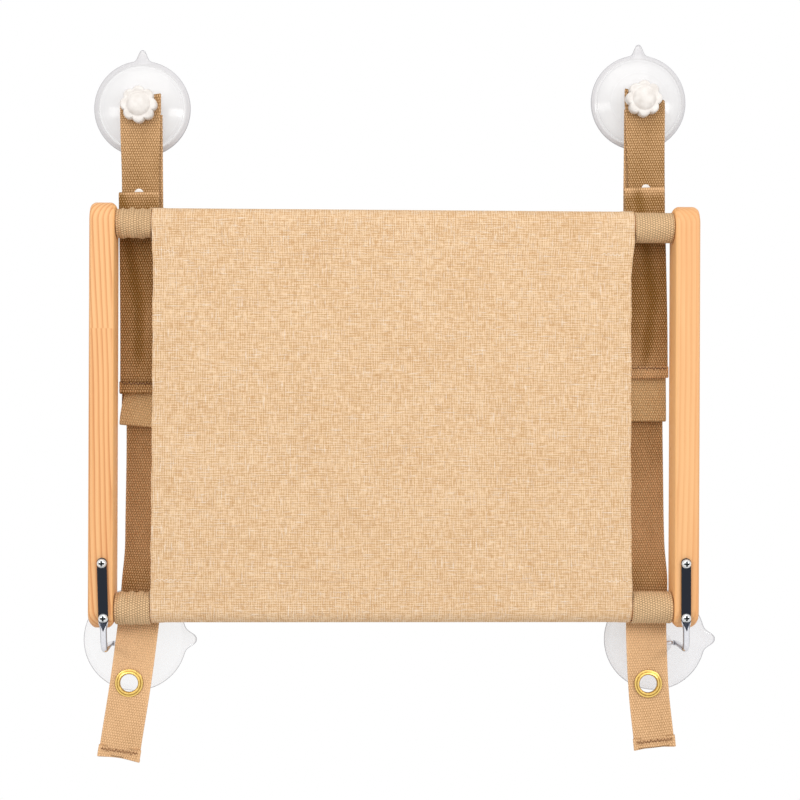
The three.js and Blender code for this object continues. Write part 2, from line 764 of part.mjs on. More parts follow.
for (const side of sides) {
  const at = (name) => `${name}_${side.name}`;
  const strapPlace = new THREE.Vector3(side.strapX, 0, 0);
  const sleeveX = side.sign * (side.slingEdge + railInner) / 2;
  const upperPlace = new THREE.Vector3(side.cupX, 0, side.cupHeight);
  const tailPlace = new THREE.Vector3(side.tailX, -tailSetOut, tailPivotHeight);

  add(at('side_rail'), sideRail(side), pine);
  const frontSleevePlace = new THREE.Vector3(sleeveX, -rodSetOut, frontRodHeight);
  add(at('front_rod_sleeve'), rodSleeve(side), webbing, frontSleevePlace);
  const rearSleevePlace = new THREE.Vector3(sleeveX, -rodSetOut, rearRodHeight);
  add(at('rear_rod_sleeve'), rodSleeve(side), webbing, rearSleevePlace);

  add(at('strap_anchor'), strapAnchor(side), webbing, strapPlace);
  add(at('strap_drop'), strapDrop(side), webbing, strapPlace);
  add(at('strap_return'), strapReturn(side), webbing, strapPlace);
  add(at('strap_end'), strapEnd(side), webbing, strapPlace);
  add(at('strap_back'), strapBack(side), webbing);
  add(at('strap_tail'), strapTail(side), webbing, tailPlace);

  const eyelet = add(at('tail_eyelet'), tailEyelet(), brass, tailPlace);
  eyelet.position.x -= eyeletDrop * Math.sin(side.tailSlant);
  eyelet.position.z -= eyeletDrop * Math.cos(side.tailSlant);

  const upperFoldHeight = side.strapPivotHeight - side.dropLength + side.returnLength;
  const upperFoldTop = upperFoldHeight + foldRadius + webbingThickness / 2;
  const studPlace = new THREE.Vector3(
    side.strapX,
    -dropSetOut - webbingThickness / 2 - seatGap,
    upperFoldTop + strapStudRise - strapStudDiameter / 2,
  );
  add(at('strap_stud'), strapStud(), milkyPlastic, studPlace);

  add(at('upper_cup'), upperCup(), clearVinyl, upperPlace);
  add(at('cup_stud'), cupStud(), zincSteel, upperPlace);
  add(at('clamp_knob'), clampKnob(), milkyPlastic, upperPlace.clone().setY(-knobBackSetOut));
  const lowerPlace = new THREE.Vector3(side.sign * side.lowerCupOffset, 0, 0);
  add(at('lower_cup'), lowerCup(side), clearVinyl, lowerPlace);

  add(at('pivot_bracket'), pivotBracket(side), zincSteel);
  const headY = -railFrontSetOut - 2 * seatGap - bracketStripThickness;
  const screwX = side.sign * bracketOffset;
  add(at('bracket_screw_upper'), bracketScrew(), zincSteel, new THREE.Vector3(screwX, headY, upperScrewHeight));
  add(at('bracket_screw_lower'), bracketScrew(), zincSteel, new THREE.Vector3(screwX, headY, lowerScrewHeight));

  const faceX = side.sign * railOuter;
  add(at('rod_screw_front'), rodScrew(side), zincSteel, new THREE.Vector3(faceX, -rodSetOut, frontRodHeight));
  add(at('rod_screw_rear'), rodScrew(side), zincSteel, new THREE.Vector3(faceX, -rodSetOut, rearRodHeight));
}

export default bed;
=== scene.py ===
# A pet's hammock bed that hangs on a window, folded up flat against the glass. Metres. X runs to the right,
# Y through the glass away from the room, Z up, and z = 0 is the hinge pins' height.
import math

import bmesh
import bpy
import numpy as np
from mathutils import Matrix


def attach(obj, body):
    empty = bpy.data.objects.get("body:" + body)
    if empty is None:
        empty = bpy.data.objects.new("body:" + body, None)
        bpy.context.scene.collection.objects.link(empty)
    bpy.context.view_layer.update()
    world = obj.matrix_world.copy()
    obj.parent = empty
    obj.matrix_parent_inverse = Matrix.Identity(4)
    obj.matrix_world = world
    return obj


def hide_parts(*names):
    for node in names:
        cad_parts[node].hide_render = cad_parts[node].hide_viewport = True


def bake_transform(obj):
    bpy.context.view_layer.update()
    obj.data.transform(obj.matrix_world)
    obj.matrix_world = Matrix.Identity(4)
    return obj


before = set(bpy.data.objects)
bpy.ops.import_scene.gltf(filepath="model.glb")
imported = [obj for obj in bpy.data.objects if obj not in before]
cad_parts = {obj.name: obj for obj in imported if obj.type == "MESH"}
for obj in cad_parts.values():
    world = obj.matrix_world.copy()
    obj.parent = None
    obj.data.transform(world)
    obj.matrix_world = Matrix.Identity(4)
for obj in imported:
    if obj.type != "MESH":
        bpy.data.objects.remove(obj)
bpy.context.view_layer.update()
SIDES = (("left", -1), ("right", 1))


# Side rails: two bars of solid pine, planed, with rounded edges and half-round ends, sanded and clear
# satin. The left one is glued up from two lengths end to end, so its tone steps at the joint.
RAIL_X = 0.226
RAIL_Y = -0.041
RAIL_HALF = 0.0095
RAIL_RADIUS = 0.015
RAIL_EDGE = 0.003
RAIL_LOW = 0.0302
RAIL_HIGH = 0.3288
FOOT_TAPER = (0.010, 0.30)
TOP_TAPER = (0.005, 0.16)
RING_PITCH = 0.0028
JOINT_SHIFT = 0.0049
PINE_PALE = (231, 179, 123)
PINE_BODY = (221, 158, 100)
PINE_RING = (194, 124, 70)
PINE_LIT_INSIDE = (255, 196, 130)
INSIDE_X = 0.2170
PINE_HEARTS = {
    "left": ((-0.262, -0.012), 0.035, 0.62, 0.246, 0.14),
    "right": ((0.300, 0.030), -0.012, 0.24, None, 0.22),
}


def colour(rgb, alpha=1.0):
    """Linear colour of 0 to 255 screen values: ((c + 0.055) / 1.055) ** 2.4, or c / 12.92 below 0.04045."""
    shares = np.array(rgb) / 255.0
    linear = np.where(shares > 0.04045, ((shares + 0.055) / 1.055) ** 2.4, shares / 12.92)
    return (*linear.tolist(), alpha)


def rise(low, high, at):
    """Smooth step from 0 at low to 1 at high: t t (3 - 2 t), where t is the clipped share of the way."""
    t = np.clip((at - low) / (high - low), 0.0, 1.0)
    return t * t * (3.0 - 2.0 * t)


def grid(*parts):
    """Points or sizes with those parts, numbers or arrays, all spread over one common grid."""
    return np.stack(np.broadcast_arrays(*parts), axis=-1)


def placed(name, data):
    """A new object of that mesh, lamp or camera in the scene."""
    made = bpy.data.objects.new(name, data)
    bpy.context.scene.collection.objects.link(made)
    return made


def skin(name, points, sizes):
    """Mesh over a grid of points p[i, j], or over several such grids, with a face between each four
    neighbours and sizes[i, j] as its UV map. Points in one place are welded, which closes seams and poles.
    The faces look outwards: their order is turned if the volume they enclose, the sum of a . (b x c) / 6
    over their triangles, comes out negative."""
    index = np.arange(points[..., 0].size).reshape(points.shape[:-1])
    corners = [index[..., :-1, :-1], index[..., 1:, :-1], index[..., 1:, 1:], index[..., :-1, 1:]]
    faces = grid(*corners).reshape(-1, 4)
    place = points.reshape(-1, 3)
    a, b, c, d = (place[faces[:, k]] for k in range(4))
    if np.sum(a * np.cross(b, c)) + np.sum(a * np.cross(c, d)) < 0.0:
        faces = faces[:, ::-1]
    mesh = bpy.data.meshes.new(name)
    mesh.from_pydata(place.tolist(), [], faces.tolist())
    layer = mesh.uv_layers.new(name="sizes")
    layer.data.foreach_set("uv", sizes.reshape(-1, 2)[faces.ravel()].astype(np.float32).ravel())
    welded = bmesh.new()
    welded.from_mesh(mesh)
    bmesh.ops.remove_doubles(welded, verts=welded.verts, dist=1e-6)
    welded.to_mesh(mesh)
    welded.free()
    mesh.shade_smooth()
    return placed(name, mesh)


class Term:
    """One output of a shader node. Sums of Terms and numbers make Math nodes, whichever side the Term is
    on."""

    def __init__(self, tree, socket=None):
        self.tree = tree
        self.socket = socket

    def node(self, kind, settings, values, output=0):
        """A node in the same tree. settings are its options and values its inputs, by name or number:
        a Term is linked, anything else is set on the socket itself."""
        made = self.tree.nodes.new(kind)
        for option, value in settings.items():
            setattr(made, option, value)
        for key, value in values.items():
            if isinstance(value, Term):
                self.tree.links.new(value.socket, made.inputs[key])
            else:
                made.inputs[key].default_value = value
        return Term(self.tree, made.outputs[output] if made.outputs else None)

    def maths(self, operation, *others):
        """A Math node on this value and then the others."""
        return self.node("ShaderNodeMath", {"operation": operation}, dict(enumerate((self, *others))))

    def after(self, number, operation):
        """A Math node on a number and then this value."""
        return self.node("ShaderNodeMath", {"operation": operation}, {0: number, 1: self})

    def __add__(self, other):
        return self.maths("ADD", other)

    def __mul__(self, other):
        return self.maths("MULTIPLY", other)

    __radd__ = __add__
    __rmul__ = __mul__

    def __sub__(self, other):
        return self.maths("SUBTRACT", other)

    def __rsub__(self, other):
        return self.after(other, "SUBTRACT")

    def __truediv__(self, other):
        return self.maths("DIVIDE", other)

    def __rtruediv__(self, other):
        return self.after(other, "DIVIDE")

    def __pow__(self, other):
        return self.maths("POWER", other)

    def __abs__(self):
        return self.maths("ABSOLUTE")

    def wave(self):
        """Sine of this value, brought between 0 and 1."""
        return self.maths("SINE") * 0.5 + 0.5

    def parts(self):
        """The three parts of a vector."""
        return [self.node("ShaderNodeSeparateXYZ", {}, {0: self}, k) for k in range(3)]

    def step(self, low, high):
        """Smooth step of this value from 0 at low to 1 at high."""
        values = {"Value": self, "From Min": low, "From Max": high}
        return self.node("ShaderNodeMapRange", {"interpolation_type": "SMOOTHSTEP"}, values)

    def noise(self, scale, detail=2.0):
        """Noise from 0 to 1 at this place, where 1 / scale is about one blob."""
        return self.node("ShaderNodeTexNoise", {}, {"Vector": self, "Scale": scale, "Detail": detail})

    def cloud(self, x, y, z=0.0, detail=2.0):
        """Noise from 0 to 1 at the place (x, y, z), where one unit is about one blob."""
        return self.node("ShaderNodeCombineXYZ", {}, {0: x, 1: y, 2: z}).noise(1.0, detail)

    def blend(self, low, high):
        """Colour mixed from low to high, screen values or a Term, by this value."""
        low, high = (v if isinstance(v, Term) else colour(v) for v in (low, high))
        return self.node("ShaderNodeMix", {"data_type": "RGBA"}, {0: self, 6: low, 7: high}, 2)

    def bump(self, distance):
        """Surface normal of this height times a distance in metres."""
        return self.node("ShaderNodeBump", {}, {"Strength": 1.0, "Distance": distance, "Height": self})

    def surface(self, base, roughness, normal=None, metallic=0.0, specular=0.5):
        """A Principled surface of that colour and roughness, with those other inputs."""
        values = {"Base Color": base, "Roughness": roughness, "Metallic": metallic}
        values["Specular IOR Level"] = specular
        if normal is not None:
            values["Normal"] = normal
        return self.node("ShaderNodeBsdfPrincipled", {}, values)

    def veil(self, seen):
        """A surface mixed with plain transparency, this value being the surface's share."""
        clear = self.node("ShaderNodeBsdfTransparent", {}, {})
        return self.node("ShaderNodeMixShader", {}, {0: self, 1: clear, 2: seen})


def blank(owner):
    """The emptied node tree of a material or the world, as a Term."""
    owner.use_nodes = True
    owner.node_tree.nodes.clear()
    return Term(owner.node_tree)


def paint(name, build):
    """A material whose surface is build(start, place, sizes): Object coordinates and UV map, all as
    Terms."""
    material = bpy.data.materials.new(name)
    start = blank(material)
    place = start.node("ShaderNodeTexCoord", {}, {}, "Object")
    sizes = start.node("ShaderNodeTexCoord", {}, {}, "UV")
    start.node("ShaderNodeOutputMaterial", {}, {"Surface": build(start, place, sizes)})
    return material


def coat(piece, finish):
    """Gives a piece that material and no other."""
    piece.data.materials.clear()
    piece.data.materials.append(finish)


def pine(along, heart=(0.0, 0.11), wander=0.0, marked=0.3, joint=None, deeper=0.12, lit_inside=False):
    """Growth rings about a line that runs along the bar: the share of a ring is the fraction of r /
    RING_PITCH, where r is the distance from the line, bent by noise that is long along the bar. Late wood
    is a thin dark line at each ring's end, as dark as marked. heart is where that line passes, and wander
    how far it leans sideways in a metre. At a joint, a height, the rings start anew and the tone changes.
    deeper is added to the tone all over. The rails' inner sides, at |x| below INSIDE_X, are painted paler:
    painted light that lifts the shade they lie in."""

    def build(start, place, sizes):
        parts = place.parts()
        length = parts.pop(along)
        wide, deep = parts
        lean = length * wander
        tone = 0.0
        if joint is not None:
            below = 1.0 - length.step(joint - 0.0002, joint + 0.0002)
            lean = lean + below * JOINT_SHIFT
            tone = below * 0.08
        bend = start.cloud(wide * 9.0, deep * 9.0, length * 3.2) * 0.011
        aside = wide - heart[0] + lean
        inward = deep - heart[1]
        radius = (aside * aside + inward * inward) ** 0.5 + bend
        ring = (radius * (1.0 / RING_PITCH)).maths("FRACT")
        late = ring.step(0.35, 0.93) * (1.0 - ring.step(0.93, 1.0))
        fibre = start.cloud(wide * 1600.0, deep * 1600.0, length * 26.0)
        broad = start.cloud(wide * 60.0, deep * 60.0, length * 6.0, 1.0)
        share = late * marked + (fibre - 0.5) * 0.30 + (broad - 0.5) * 0.5 + (tone + deeper)
        share = share.maths("MAXIMUM", 0.0)
        base = share.step(0.0, 0.55).blend(PINE_PALE, PINE_BODY)
        base = share.step(0.42, 1.0).blend(base, PINE_RING)
        # Painted light: the inner sides are made paler against the shade that falls on them.
        if lit_inside:
            inner = 1.0 - abs(wide).step(INSIDE_X, INSIDE_X + 0.0012)
            base = (inner * 0.7).blend(base, PINE_LIT_INSIDE)
        return start.surface(base, 0.46 + fibre * 0.14, fibre.bump(0.00012))

    return build


def rail(name, side):
    """A stadium outline carried across the bar: point = spine + (R - inset) d + x, where d runs round the
    outline, and the inset grows from 0 to the edge radius over a quarter circle, then to R on the side
    faces. The bar narrows as the square of the way over its last 10 mm below and 5 mm above."""
    turn = np.linspace(0.0, math.pi, 25)
    run = np.linspace(RAIL_LOW, RAIL_HIGH, 61)[1:-1]
    dir_y = np.concatenate([-np.cos(turn), np.ones(run.size), np.cos(turn), -np.ones(run.size), [-1.0]])
    dir_z = np.concatenate([-np.sin(turn), np.zeros(run.size), np.sin(turn), np.zeros(run.size), [0.0]])
    spine = np.concatenate([np.full(25, RAIL_LOW), run, np.full(25, RAIL_HIGH), run[::-1], [RAIL_LOW]])
    round_off = np.linspace(0.0, math.pi / 2.0, 9)
    flat_x = np.linspace(-RAIL_HALF + RAIL_EDGE, RAIL_HALF - RAIL_EDGE, 9)[1:-1]
    edge_x = -RAIL_HALF + RAIL_EDGE * (1.0 - np.cos(round_off))
    edge_inset = RAIL_EDGE * (1.0 - np.sin(round_off))
    face_inset = np.array([RAIL_RADIUS, 0.009, 0.005, 0.0032])
    face_x = np.full(4, -RAIL_HALF)
    across = np.concatenate([face_x, edge_x, flat_x, -edge_x[::-1], -face_x])
    inset = np.concatenate([face_inset, edge_inset, np.zeros(7), edge_inset[::-1], face_inset[::-1]])
    reach = RAIL_RADIUS - inset[:, None]
    y = RAIL_Y + reach * dir_y
    z = spine + reach * dir_z
    low = np.clip((RAIL_LOW - RAIL_RADIUS - z) / FOOT_TAPER[0] + 1.0, 0.0, 1.0)
    high = np.clip((z - RAIL_HIGH - RAIL_RADIUS) / TOP_TAPER[0] + 1.0, 0.0, 1.0)
    x = side * RAIL_X + across[:, None] * (1.0 - FOOT_TAPER[1] * low ** 2 - TOP_TAPER[1] * high ** 2)
    return skin(name, grid(x, y, z), grid(x, z))


for label, side in SIDES:
    bar = rail(f"rail_{label}", side)
    coat(bar, paint(f"pine_rail_{label}", pine(2, *PINE_HEARTS[label], True)))
    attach(bar, "bed")
    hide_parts(f"side_rail_{label}")


# Rods: two turned pine dowels whose ends are let into the rails. They show only in the narrow gaps beside
# the webbing sleeves, and keep their CAD shape.
rod_pine = paint("pine_rods", pine(0))
for name in ("front_rod", "rear_rod"):
    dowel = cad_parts[name]
    coat(dowel, rod_pine)


# Sling: one piece of upholstery cloth with a linen look, stretched over the room side of both rods.
# Each end is turned round its rod and sewn down behind the panel, and the side edges are hemmed.
SLING_HALF = 0.1855
SLING_X = -0.0027
CLOTH_HALF = 0.0006
ROD_TURN = 0.0104
FRONT_SEAM = 0.3048
REAR_SEAM = 0.0522
FLAP_Y = -0.0501
SEAM_ALLOWANCE = 0.004
LINEN_DARK = (198, 156, 111)
LINEN_LIGHT = (232, 202, 166)
LINEN_SLUB = (244, 230, 214)
SIDE_HEM = 0.0112
WEAVE_PITCH = 0.0018
EDGE_HEIGHTS = [0.010, 0.045, 0.090, 0.150, 0.190, 0.250, 0.290, 0.301, 0.313, 0.327, 0.345]
EDGE_OUT = {
    -1: [0.0002, -0.0001, -0.0004, -0.0007, -0.0010, -0.0009, -0.0011, -0.0011, -0.0003, 0.0003, 0.0003],
    1: [0.0008, 0.0010, 0.0001, -0.0003, -0.0003, -0.0004, -0.0003, 0.0003, 0.0016, 0.0022, 0.0023],
}


def linen(start, place, sizes):
    """Plain weave: the sum of a sine across and a sine along, WEAVE_PITCH apart, under noise drawn out along
    each thread direction, 8 mm long and 0.8 mm wide, with pale thick threads and a slow change of tone."""
    across, along, _ = sizes.parts()
    weft = start.cloud(across * 125.0, along * 1250.0)
    warp = start.cloud(across * 1250.0, along * 125.0, 5.0)
    grain = start.cloud(across * 1500.0, along * 1500.0, 11.0, 0.0)
    patch = start.cloud(across * 26.0, along * 26.0, 9.0)
    turn_u = across * (2.0 * math.pi / WEAVE_PITCH) + weft * 2.5
    turn_v = along * (2.0 * math.pi / WEAVE_PITCH) + warp * 2.5
    weave = turn_u.maths("SINE") + turn_v.maths("SINE")
    tone = (weft + warp - 1.0) * 1.8 + (grain - 0.5) * 0.8 + weave * 0.20 + (patch - 0.5) * 0.35 + 0.5
    thick_weft = start.cloud(across * 80.0, along * 1000.0, 3.0).step(0.60, 0.72)
    thick_warp = start.cloud(across * 1000.0, along * 80.0, 7.0).step(0.60, 0.72)
    base = tone.step(0.0, 1.0).blend(LINEN_DARK, LINEN_LIGHT)
    base = ((thick_weft + thick_warp) * 0.5).blend(base, LINEN_SLUB)
    relief = (weft + warp + weave * 0.15 + (thick_weft + thick_warp) * 0.3).bump(0.0004)
    return start.surface(base, 0.92, relief, specular=0.2)


def turn(centre, radius, first, last, count):
    """Points (y, z) on a circle from one angle to another, in degrees from +Y towards +Z."""
    angle = np.radians(np.linspace(first, last, count))
    return grid(centre[0] + radius * np.cos(angle), centre[1] + radius * np.sin(angle))


def straight(first, last, step):
    """Points (y, z) on the line from first to last, no further apart than step."""
    count = max(2, math.ceil(math.dist(first, last) / step) + 1)
    share = np.linspace(0.0, 1.0, count)[:, None]
    return np.array(first) * (1.0 - share) + np.array(last) * share


def unit(vectors):
    """The same directions, each of length 1."""
    return vectors / np.linalg.norm(vectors, axis=-1, keepdims=True)


def so_far(line):
    """The length of a line of points up to each of them."""
    return np.concatenate([[0.0], np.cumsum(np.linalg.norm(np.diff(line, axis=0), axis=1))])


def carried(centre, yaw, half, thick, count):
    """Grids of a flat section carried along a path. T is the path's direction, A = (cos yaw, 0, sin yaw)
    runs across and N = T x A is the face's normal. A point is centre + a A + n N, where (a, n) goes round a
    rectangle of that half width and half thickness whose edges are half circles. Returns points, a, n, N
    and the length so far."""
    run = np.linspace(-1.0, 1.0, count)
    arc = np.linspace(0.0, math.pi, 7)[1:-1]
    base = np.concatenate([run, np.ones(arc.size), -run, -np.ones(arc.size), [-1.0]])
    bulge = np.concatenate([run * 0.0, np.sin(arc), run * 0.0, -np.sin(arc), [0.0]])
    face = np.concatenate([run * 0.0 + 1.0, np.cos(arc), run * 0.0 - 1.0, -np.cos(arc), [1.0]])
    half, thick, yaw = (np.broadcast_to(v, len(centre)) for v in (half, thick, yaw))
    a = base * (half - thick)[:, None] + bulge * thick[:, None]
    n = face * thick[:, None]
    across = grid(np.cos(yaw), 0.0, np.sin(yaw))
    normal = unit(np.cross(np.gradient(centre, axis=0), across))[:, None]
    points = centre[:, None] + a[..., None] * across[:, None] + n[..., None] * normal
    return points, a, n, normal, so_far(centre)[:, None] + a * 0.0


def closed(points, *others):
    """The same grids with a row added at each end, all at the end row's middle, which closes the ends."""
    ends = [np.broadcast_to(points[k].mean(axis=0), points[k].shape)[None] for k in (0, -1)]
    others = [np.concatenate([other[:1], other, other[-1:]]) for other in others]
    return [np.concatenate([ends[0], points, ends[1]]), *others]


def joined(*legs):
    """One path of several, leaving out each leg's first point, which is the last one's end."""
    return np.concatenate([legs[0]] + [leg[1:] for leg in legs[1:]])


def tangent(point, centre, radius, side):
    """The angle, in degrees, at which the line from a point touches a circle: the point's bearing plus or
    minus the arc cosine of radius over distance."""
    away = np.array(point) - np.array(centre)
    return math.degrees(math.atan2(away[1], away[0]) + side * math.acos(radius / math.hypot(*away)))


def through(knots, values, at):
    """Smooth curve through the knots: cubic Hermite pieces h00 p0 + h10 w m0 + h01 p1 + h11 w m1, where the
    slopes m are the values' gradients at the knots."""
    knots, values = np.array(knots), np.array(values)
    slopes = np.gradient(values, knots)
    at = np.clip(at, knots[0], knots[-1])
    k = np.clip(np.searchsorted(knots, at) - 1, 0, knots.size - 2)
    width = knots[k + 1] - knots[k]
    t = (at - knots[k]) / width
    start = (2.0 * t ** 3 - 3.0 * t ** 2 + 1.0) * values[k] + (t ** 3 - 2.0 * t ** 2 + t) * width * slopes[k]
    return start + (3.0 * t ** 2 - 2.0 * t ** 3) * values[k + 1] + (t ** 3 - t ** 2) * width * slopes[k + 1]


# The cloth's line: up to the front seam, round the front rod, down the panel, round the rear rod and up to
# the rear seam. On the panel it is slack by 0.3 mm times a sum of two waves, sin(41 a) sin(23 z) and
# sin(87 a + 31 z). The side hems stand up by 0.25 mm on each face, and the side edges stand out by EDGE_OUT
# and a wave.
front_centre = (RAIL_Y, RAIL_HIGH)
rear_centre = (RAIL_Y, RAIL_LOW)
panel_y = RAIL_Y - ROD_TURN
front_flap = (FLAP_Y, FRONT_SEAM)
rear_flap = (FLAP_Y, REAR_SEAM)
front_touch = tangent(front_flap, front_centre, ROD_TURN, 1)
rear_touch = tangent(rear_flap, rear_centre, ROD_TURN, -1)
front_arc = turn(front_centre, ROD_TURN, front_touch, 180.0, 40)
rear_arc = turn(rear_centre, ROD_TURN, 180.0, rear_touch + 360.0, 40)
cloth_line = joined(
    straight((FLAP_Y, FRONT_SEAM - SEAM_ALLOWANCE), front_flap, 0.001),
    straight(front_flap, front_arc[0], 0.0015),
    front_arc,
    straight(front_arc[-1], rear_arc[0], 0.0016),
    rear_arc,
    straight(rear_arc[-1], rear_flap, 0.0015),
    straight(rear_flap, (FLAP_Y, REAR_SEAM + SEAM_ALLOWANCE), 0.001),
)
cloth_centre = np.insert(cloth_line, 0, 0.0, axis=1)
points, across, depth, normal, length = carried(cloth_centre, 0.0, SLING_HALF, CLOTH_HALF, 141)
height = points[..., 2]
in_front = rise(-0.0475, -0.0495, points[..., 1])
on_panel = in_front * rise(0.036, 0.048, height) * (1.0 - rise(0.310, 0.322, height))
slack = np.sin(across * 41.0 + 1.3) * np.sin(height * 23.0) + 0.6 * np.sin(across * 87.0 + height * 31.0)
hem = rise(SLING_HALF - SIDE_HEM, SLING_HALF - SIDE_HEM + 0.0006, np.abs(across)) * np.sign(depth) * 0.00025
points = points + normal * (0.0003 * slack * on_panel + hem)[..., None]
out_left, out_right = (through(EDGE_HEIGHTS, EDGE_OUT[side], height) for side in (-1, 1))
spread = np.where(across < 0.0, -out_left, out_right)
edge_wave = 0.00022 * np.sin(length * 140.0 + 2.0 * np.sign(across)) + 0.00012 * np.sin(length * 330.0)
points[..., 0] += SLING_X + spread * np.abs(across) / SLING_HALF
points[..., 0] += edge_wave * rise(SLING_HALF - 0.020, SLING_HALF, np.abs(across))
points, across, length = closed(points, across, length)
sling = skin("sling_cloth", points, grid(across, length))
coat(sling, paint("linen_cloth", linen))
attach(sling, "bed")
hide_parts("sling")


# Seams of the sling: a row of polyester stitches through panel and flap along each pocket.
# Each row is sewn twice over at its ends, where the pale thread shows.
STITCH_LENGTH = 0.0026
STITCH_PITCH = 0.0034
THREAD_HALF = 0.00024
THREAD_DEEP = (214, 178, 136)
THREAD_LIGHT = (230, 200, 162)
THREAD_WORN = (226, 208, 186)
THREAD_PALE = (250, 242, 232)


def threads(start, place, sizes):
    """Twisted thread: a fine stripe round and along it, (u + v) every 0.6 mm. It is the cloth's colour, and
    pale over the 24 mm at each end."""
    around, along, _ = sizes.parts()
    stripe = ((around + along) * 10000.0).wave()
    worn = abs(place.parts()[0] - SLING_X).step(SLING_HALF - 0.026, SLING_HALF - 0.022)
    base = stripe.blend(THREAD_DEEP, THREAD_LIGHT)
    base = (worn * 0.85).blend(base, stripe.blend(THREAD_WORN, THREAD_PALE))
    return start.surface(base, 0.7, stripe.bump(0.00005))


def evenly(count):
    """Angles once round, evenly spaced."""
    return np.linspace(0.0, 2.0 * math.pi, count + 1)


def stitches(name, middles, half_length, half_thick):
    """One mesh of like stitches along X. Each is an ellipsoid: middle + (L cos p, W sin p cos q, W sin p
    sin q)."""
    p = np.linspace(0.0, math.pi, 7)[:, None]
    q = evenly(8)
    round_p = half_thick * np.sin(p)
    points = middles[:, None, None] + grid(half_length * np.cos(p), round_p * np.cos(q), round_p * np.sin(q))
    return skin(name, points, grid(points[..., 0], points[..., 1] + points[..., 2]))


middles = []
for seam in (FRONT_SEAM, REAR_SEAM):
    row = np.arange(-SLING_HALF + 0.004, SLING_HALF - 0.003, STITCH_PITCH)
    ends = row[np.abs(row) > SLING_HALF - 0.024] + STITCH_PITCH / 2.0
    for xs, shift in ((row, 0.0), (ends, 0.0011)):
        for y in (panel_y - CLOTH_HALF - 0.0001, FLAP_Y + CLOTH_HALF + 0.0001):
            middles.append(grid(xs + SLING_X, y, seam + shift + 0.0003 * np.sin(xs * 170.0)))
seams = stitches("sling_seams", np.concatenate(middles), STITCH_LENGTH / 2.0, THREAD_HALF)
coat(seams, paint("seam_thread", threads))
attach(seams, "bed")


# Rod sleeves: a turn of the strap webbing sewn round each rod end, between the sling and the rail.
# They keep the cloth off the wood; the left ones are gathered into ripples, the right ones lie smooth.
SLEEVE_INNER = 0.0098
SLEEVE_END = 0.2161
SLEEVE_MEAN = 0.012
SLEEVES = {
    ("front", "left"): (0.1889, 0.0113, -0.0010, 0.00105),
    ("front", "right"): (0.1857, 0.0118, -0.0016, 0.00008),
    ("rear", "left"): (0.1887, 0.0127, 0.0000, 0.00060),
    ("rear", "right"): (0.1846, 0.0124, 0.0005, 0.00008),
}
WEBBING_DEEP = (118, 80, 22)
WEBBING_PALE = (241, 194, 146)
SLEEVE_DEEP = (104, 80, 48)
SLEEVE_PALE = (237, 198, 152)
WEBBING_STITCH = 0.0019
WEBBING_ROW = 0.0020


def webbing(tone_and_shade, ribs=1.25, crease=None, deep=WEBBING_DEEP, pale=WEBBING_PALE, run=(0.0, 1.0)):
    """Woven webbing: rows 2 mm apart of slanting stitches 1.9 mm apart, each row shifted by half a stitch,
    from the product cos(2 pi (u + 0.12 v) / 1.9 mm) cos(pi v / 2 mm), and paler at its edges. The first
    argument holds (height, tone) pairs, where a tone of 0 is the deep colour and 1 the pale one, and the
    tone changes smoothly from each height to the next; on the straps these steps are painted light and
    shade. The height is run[0] + run[1] v, so it stays with the cloth when the strap folds. It has painted
    shade along a crease, whose line is u = peak - above max(height - knee, 0) - below max(knee - height, 0)."""

    def build(start, place, sizes):
        across, along, _ = sizes.parts()
        row = (along * (math.pi / WEBBING_ROW)).maths("COSINE")
        turn_u = (across + along * 0.12) * (2.0 * math.pi / WEBBING_STITCH)
        raised = (turn_u.maths("COSINE") * row).step(-0.35, 0.8)
        fade = start.cloud(across * 60.0, along * 30.0, 4.0)
        share = (raised - 0.4) * (0.42 * ribs) + (abs(row) - 0.6) * (0.20 * ribs)
        share = share + (sizes.noise(700.0) - 0.5) * 0.5 + (fade - 0.5) * 0.3 + tone_and_shade[0][1]
        height = run[0] + along * run[1]
        # Painted light and shade: the tone steps from height to height.
        for (low, before), (high, after) in zip(tone_and_shade[:-1], tone_and_shade[1:]):
            share = share + height.step(low, high) * (after - before)
        share = share + abs(across).step(0.0143, 0.0152) * 0.12
        # Painted shade along the crease.
        if crease is not None:
            peak, knee, above, below = crease
            rest = height - knee
            aside = across - peak + rest.maths("MAXIMUM", 0.0) * above - rest.maths("MINIMUM", 0.0) * below
            shade = 1.0 - abs(aside).step(0.0, 0.0065)
            share = share - shade * height.step(0.212, 0.232) * 0.24
        return start.surface(share.blend(deep, pale), 0.85, raised.bump(0.00035), specular=0.25)

    return build


def sleeve(name, side, height, first, outer_radius, drop, ripple):
    """A ring section turned about the rod: r = R + drop sin(angle) + ripple sin(2 pi x / 7.5 mm) w(angle),
    with rounded ends, so that the outer face hangs a little below the rod or above it. The ripples' share w
    is largest above and in front, and a second ripple, 14.6 mm long, runs three times round. The section
    goes out along the outer face and back along the bore."""
    run = np.linspace(0.0, 1.0, 49)
    wall = (outer_radius - SLEEVE_INNER) / 2.0
    arc = np.linspace(0.0, math.pi, 9)[1:-1]
    along = wall + (SLEEVE_END - first - 2.0 * wall) * run
    falling = (1.0 + np.cos(arc)) / 2.0
    bulge = wall * np.sin(arc)
    x = np.concatenate([along, along[-1] + bulge, along[::-1], wall - bulge, [wall]])
    outer = np.concatenate([run * 0.0 + 1.0, falling, run * 0.0, 1.0 - falling, [1.0]])
    angle = evenly(96)[:, None]
    lumps = np.sin(x * 838.0 + 1.48) * (0.6 + 0.4 * np.cos(angle - 2.2))
    lumps = lumps + 0.4 * np.sin(x * 430.0 + 1.0) * np.sin(angle * 3.0 + 2.0)
    reach = outer_radius + drop * np.sin(angle) + ripple * lumps
    radius = SLEEVE_INNER + (np.maximum(reach, SLEEVE_INNER + 0.0004) - SLEEVE_INNER) * outer
    place = grid(side * (first + x), RAIL_Y + radius * np.cos(angle), height + radius * np.sin(angle))
    return skin(name, place, grid(SLEEVE_MEAN * angle, x))


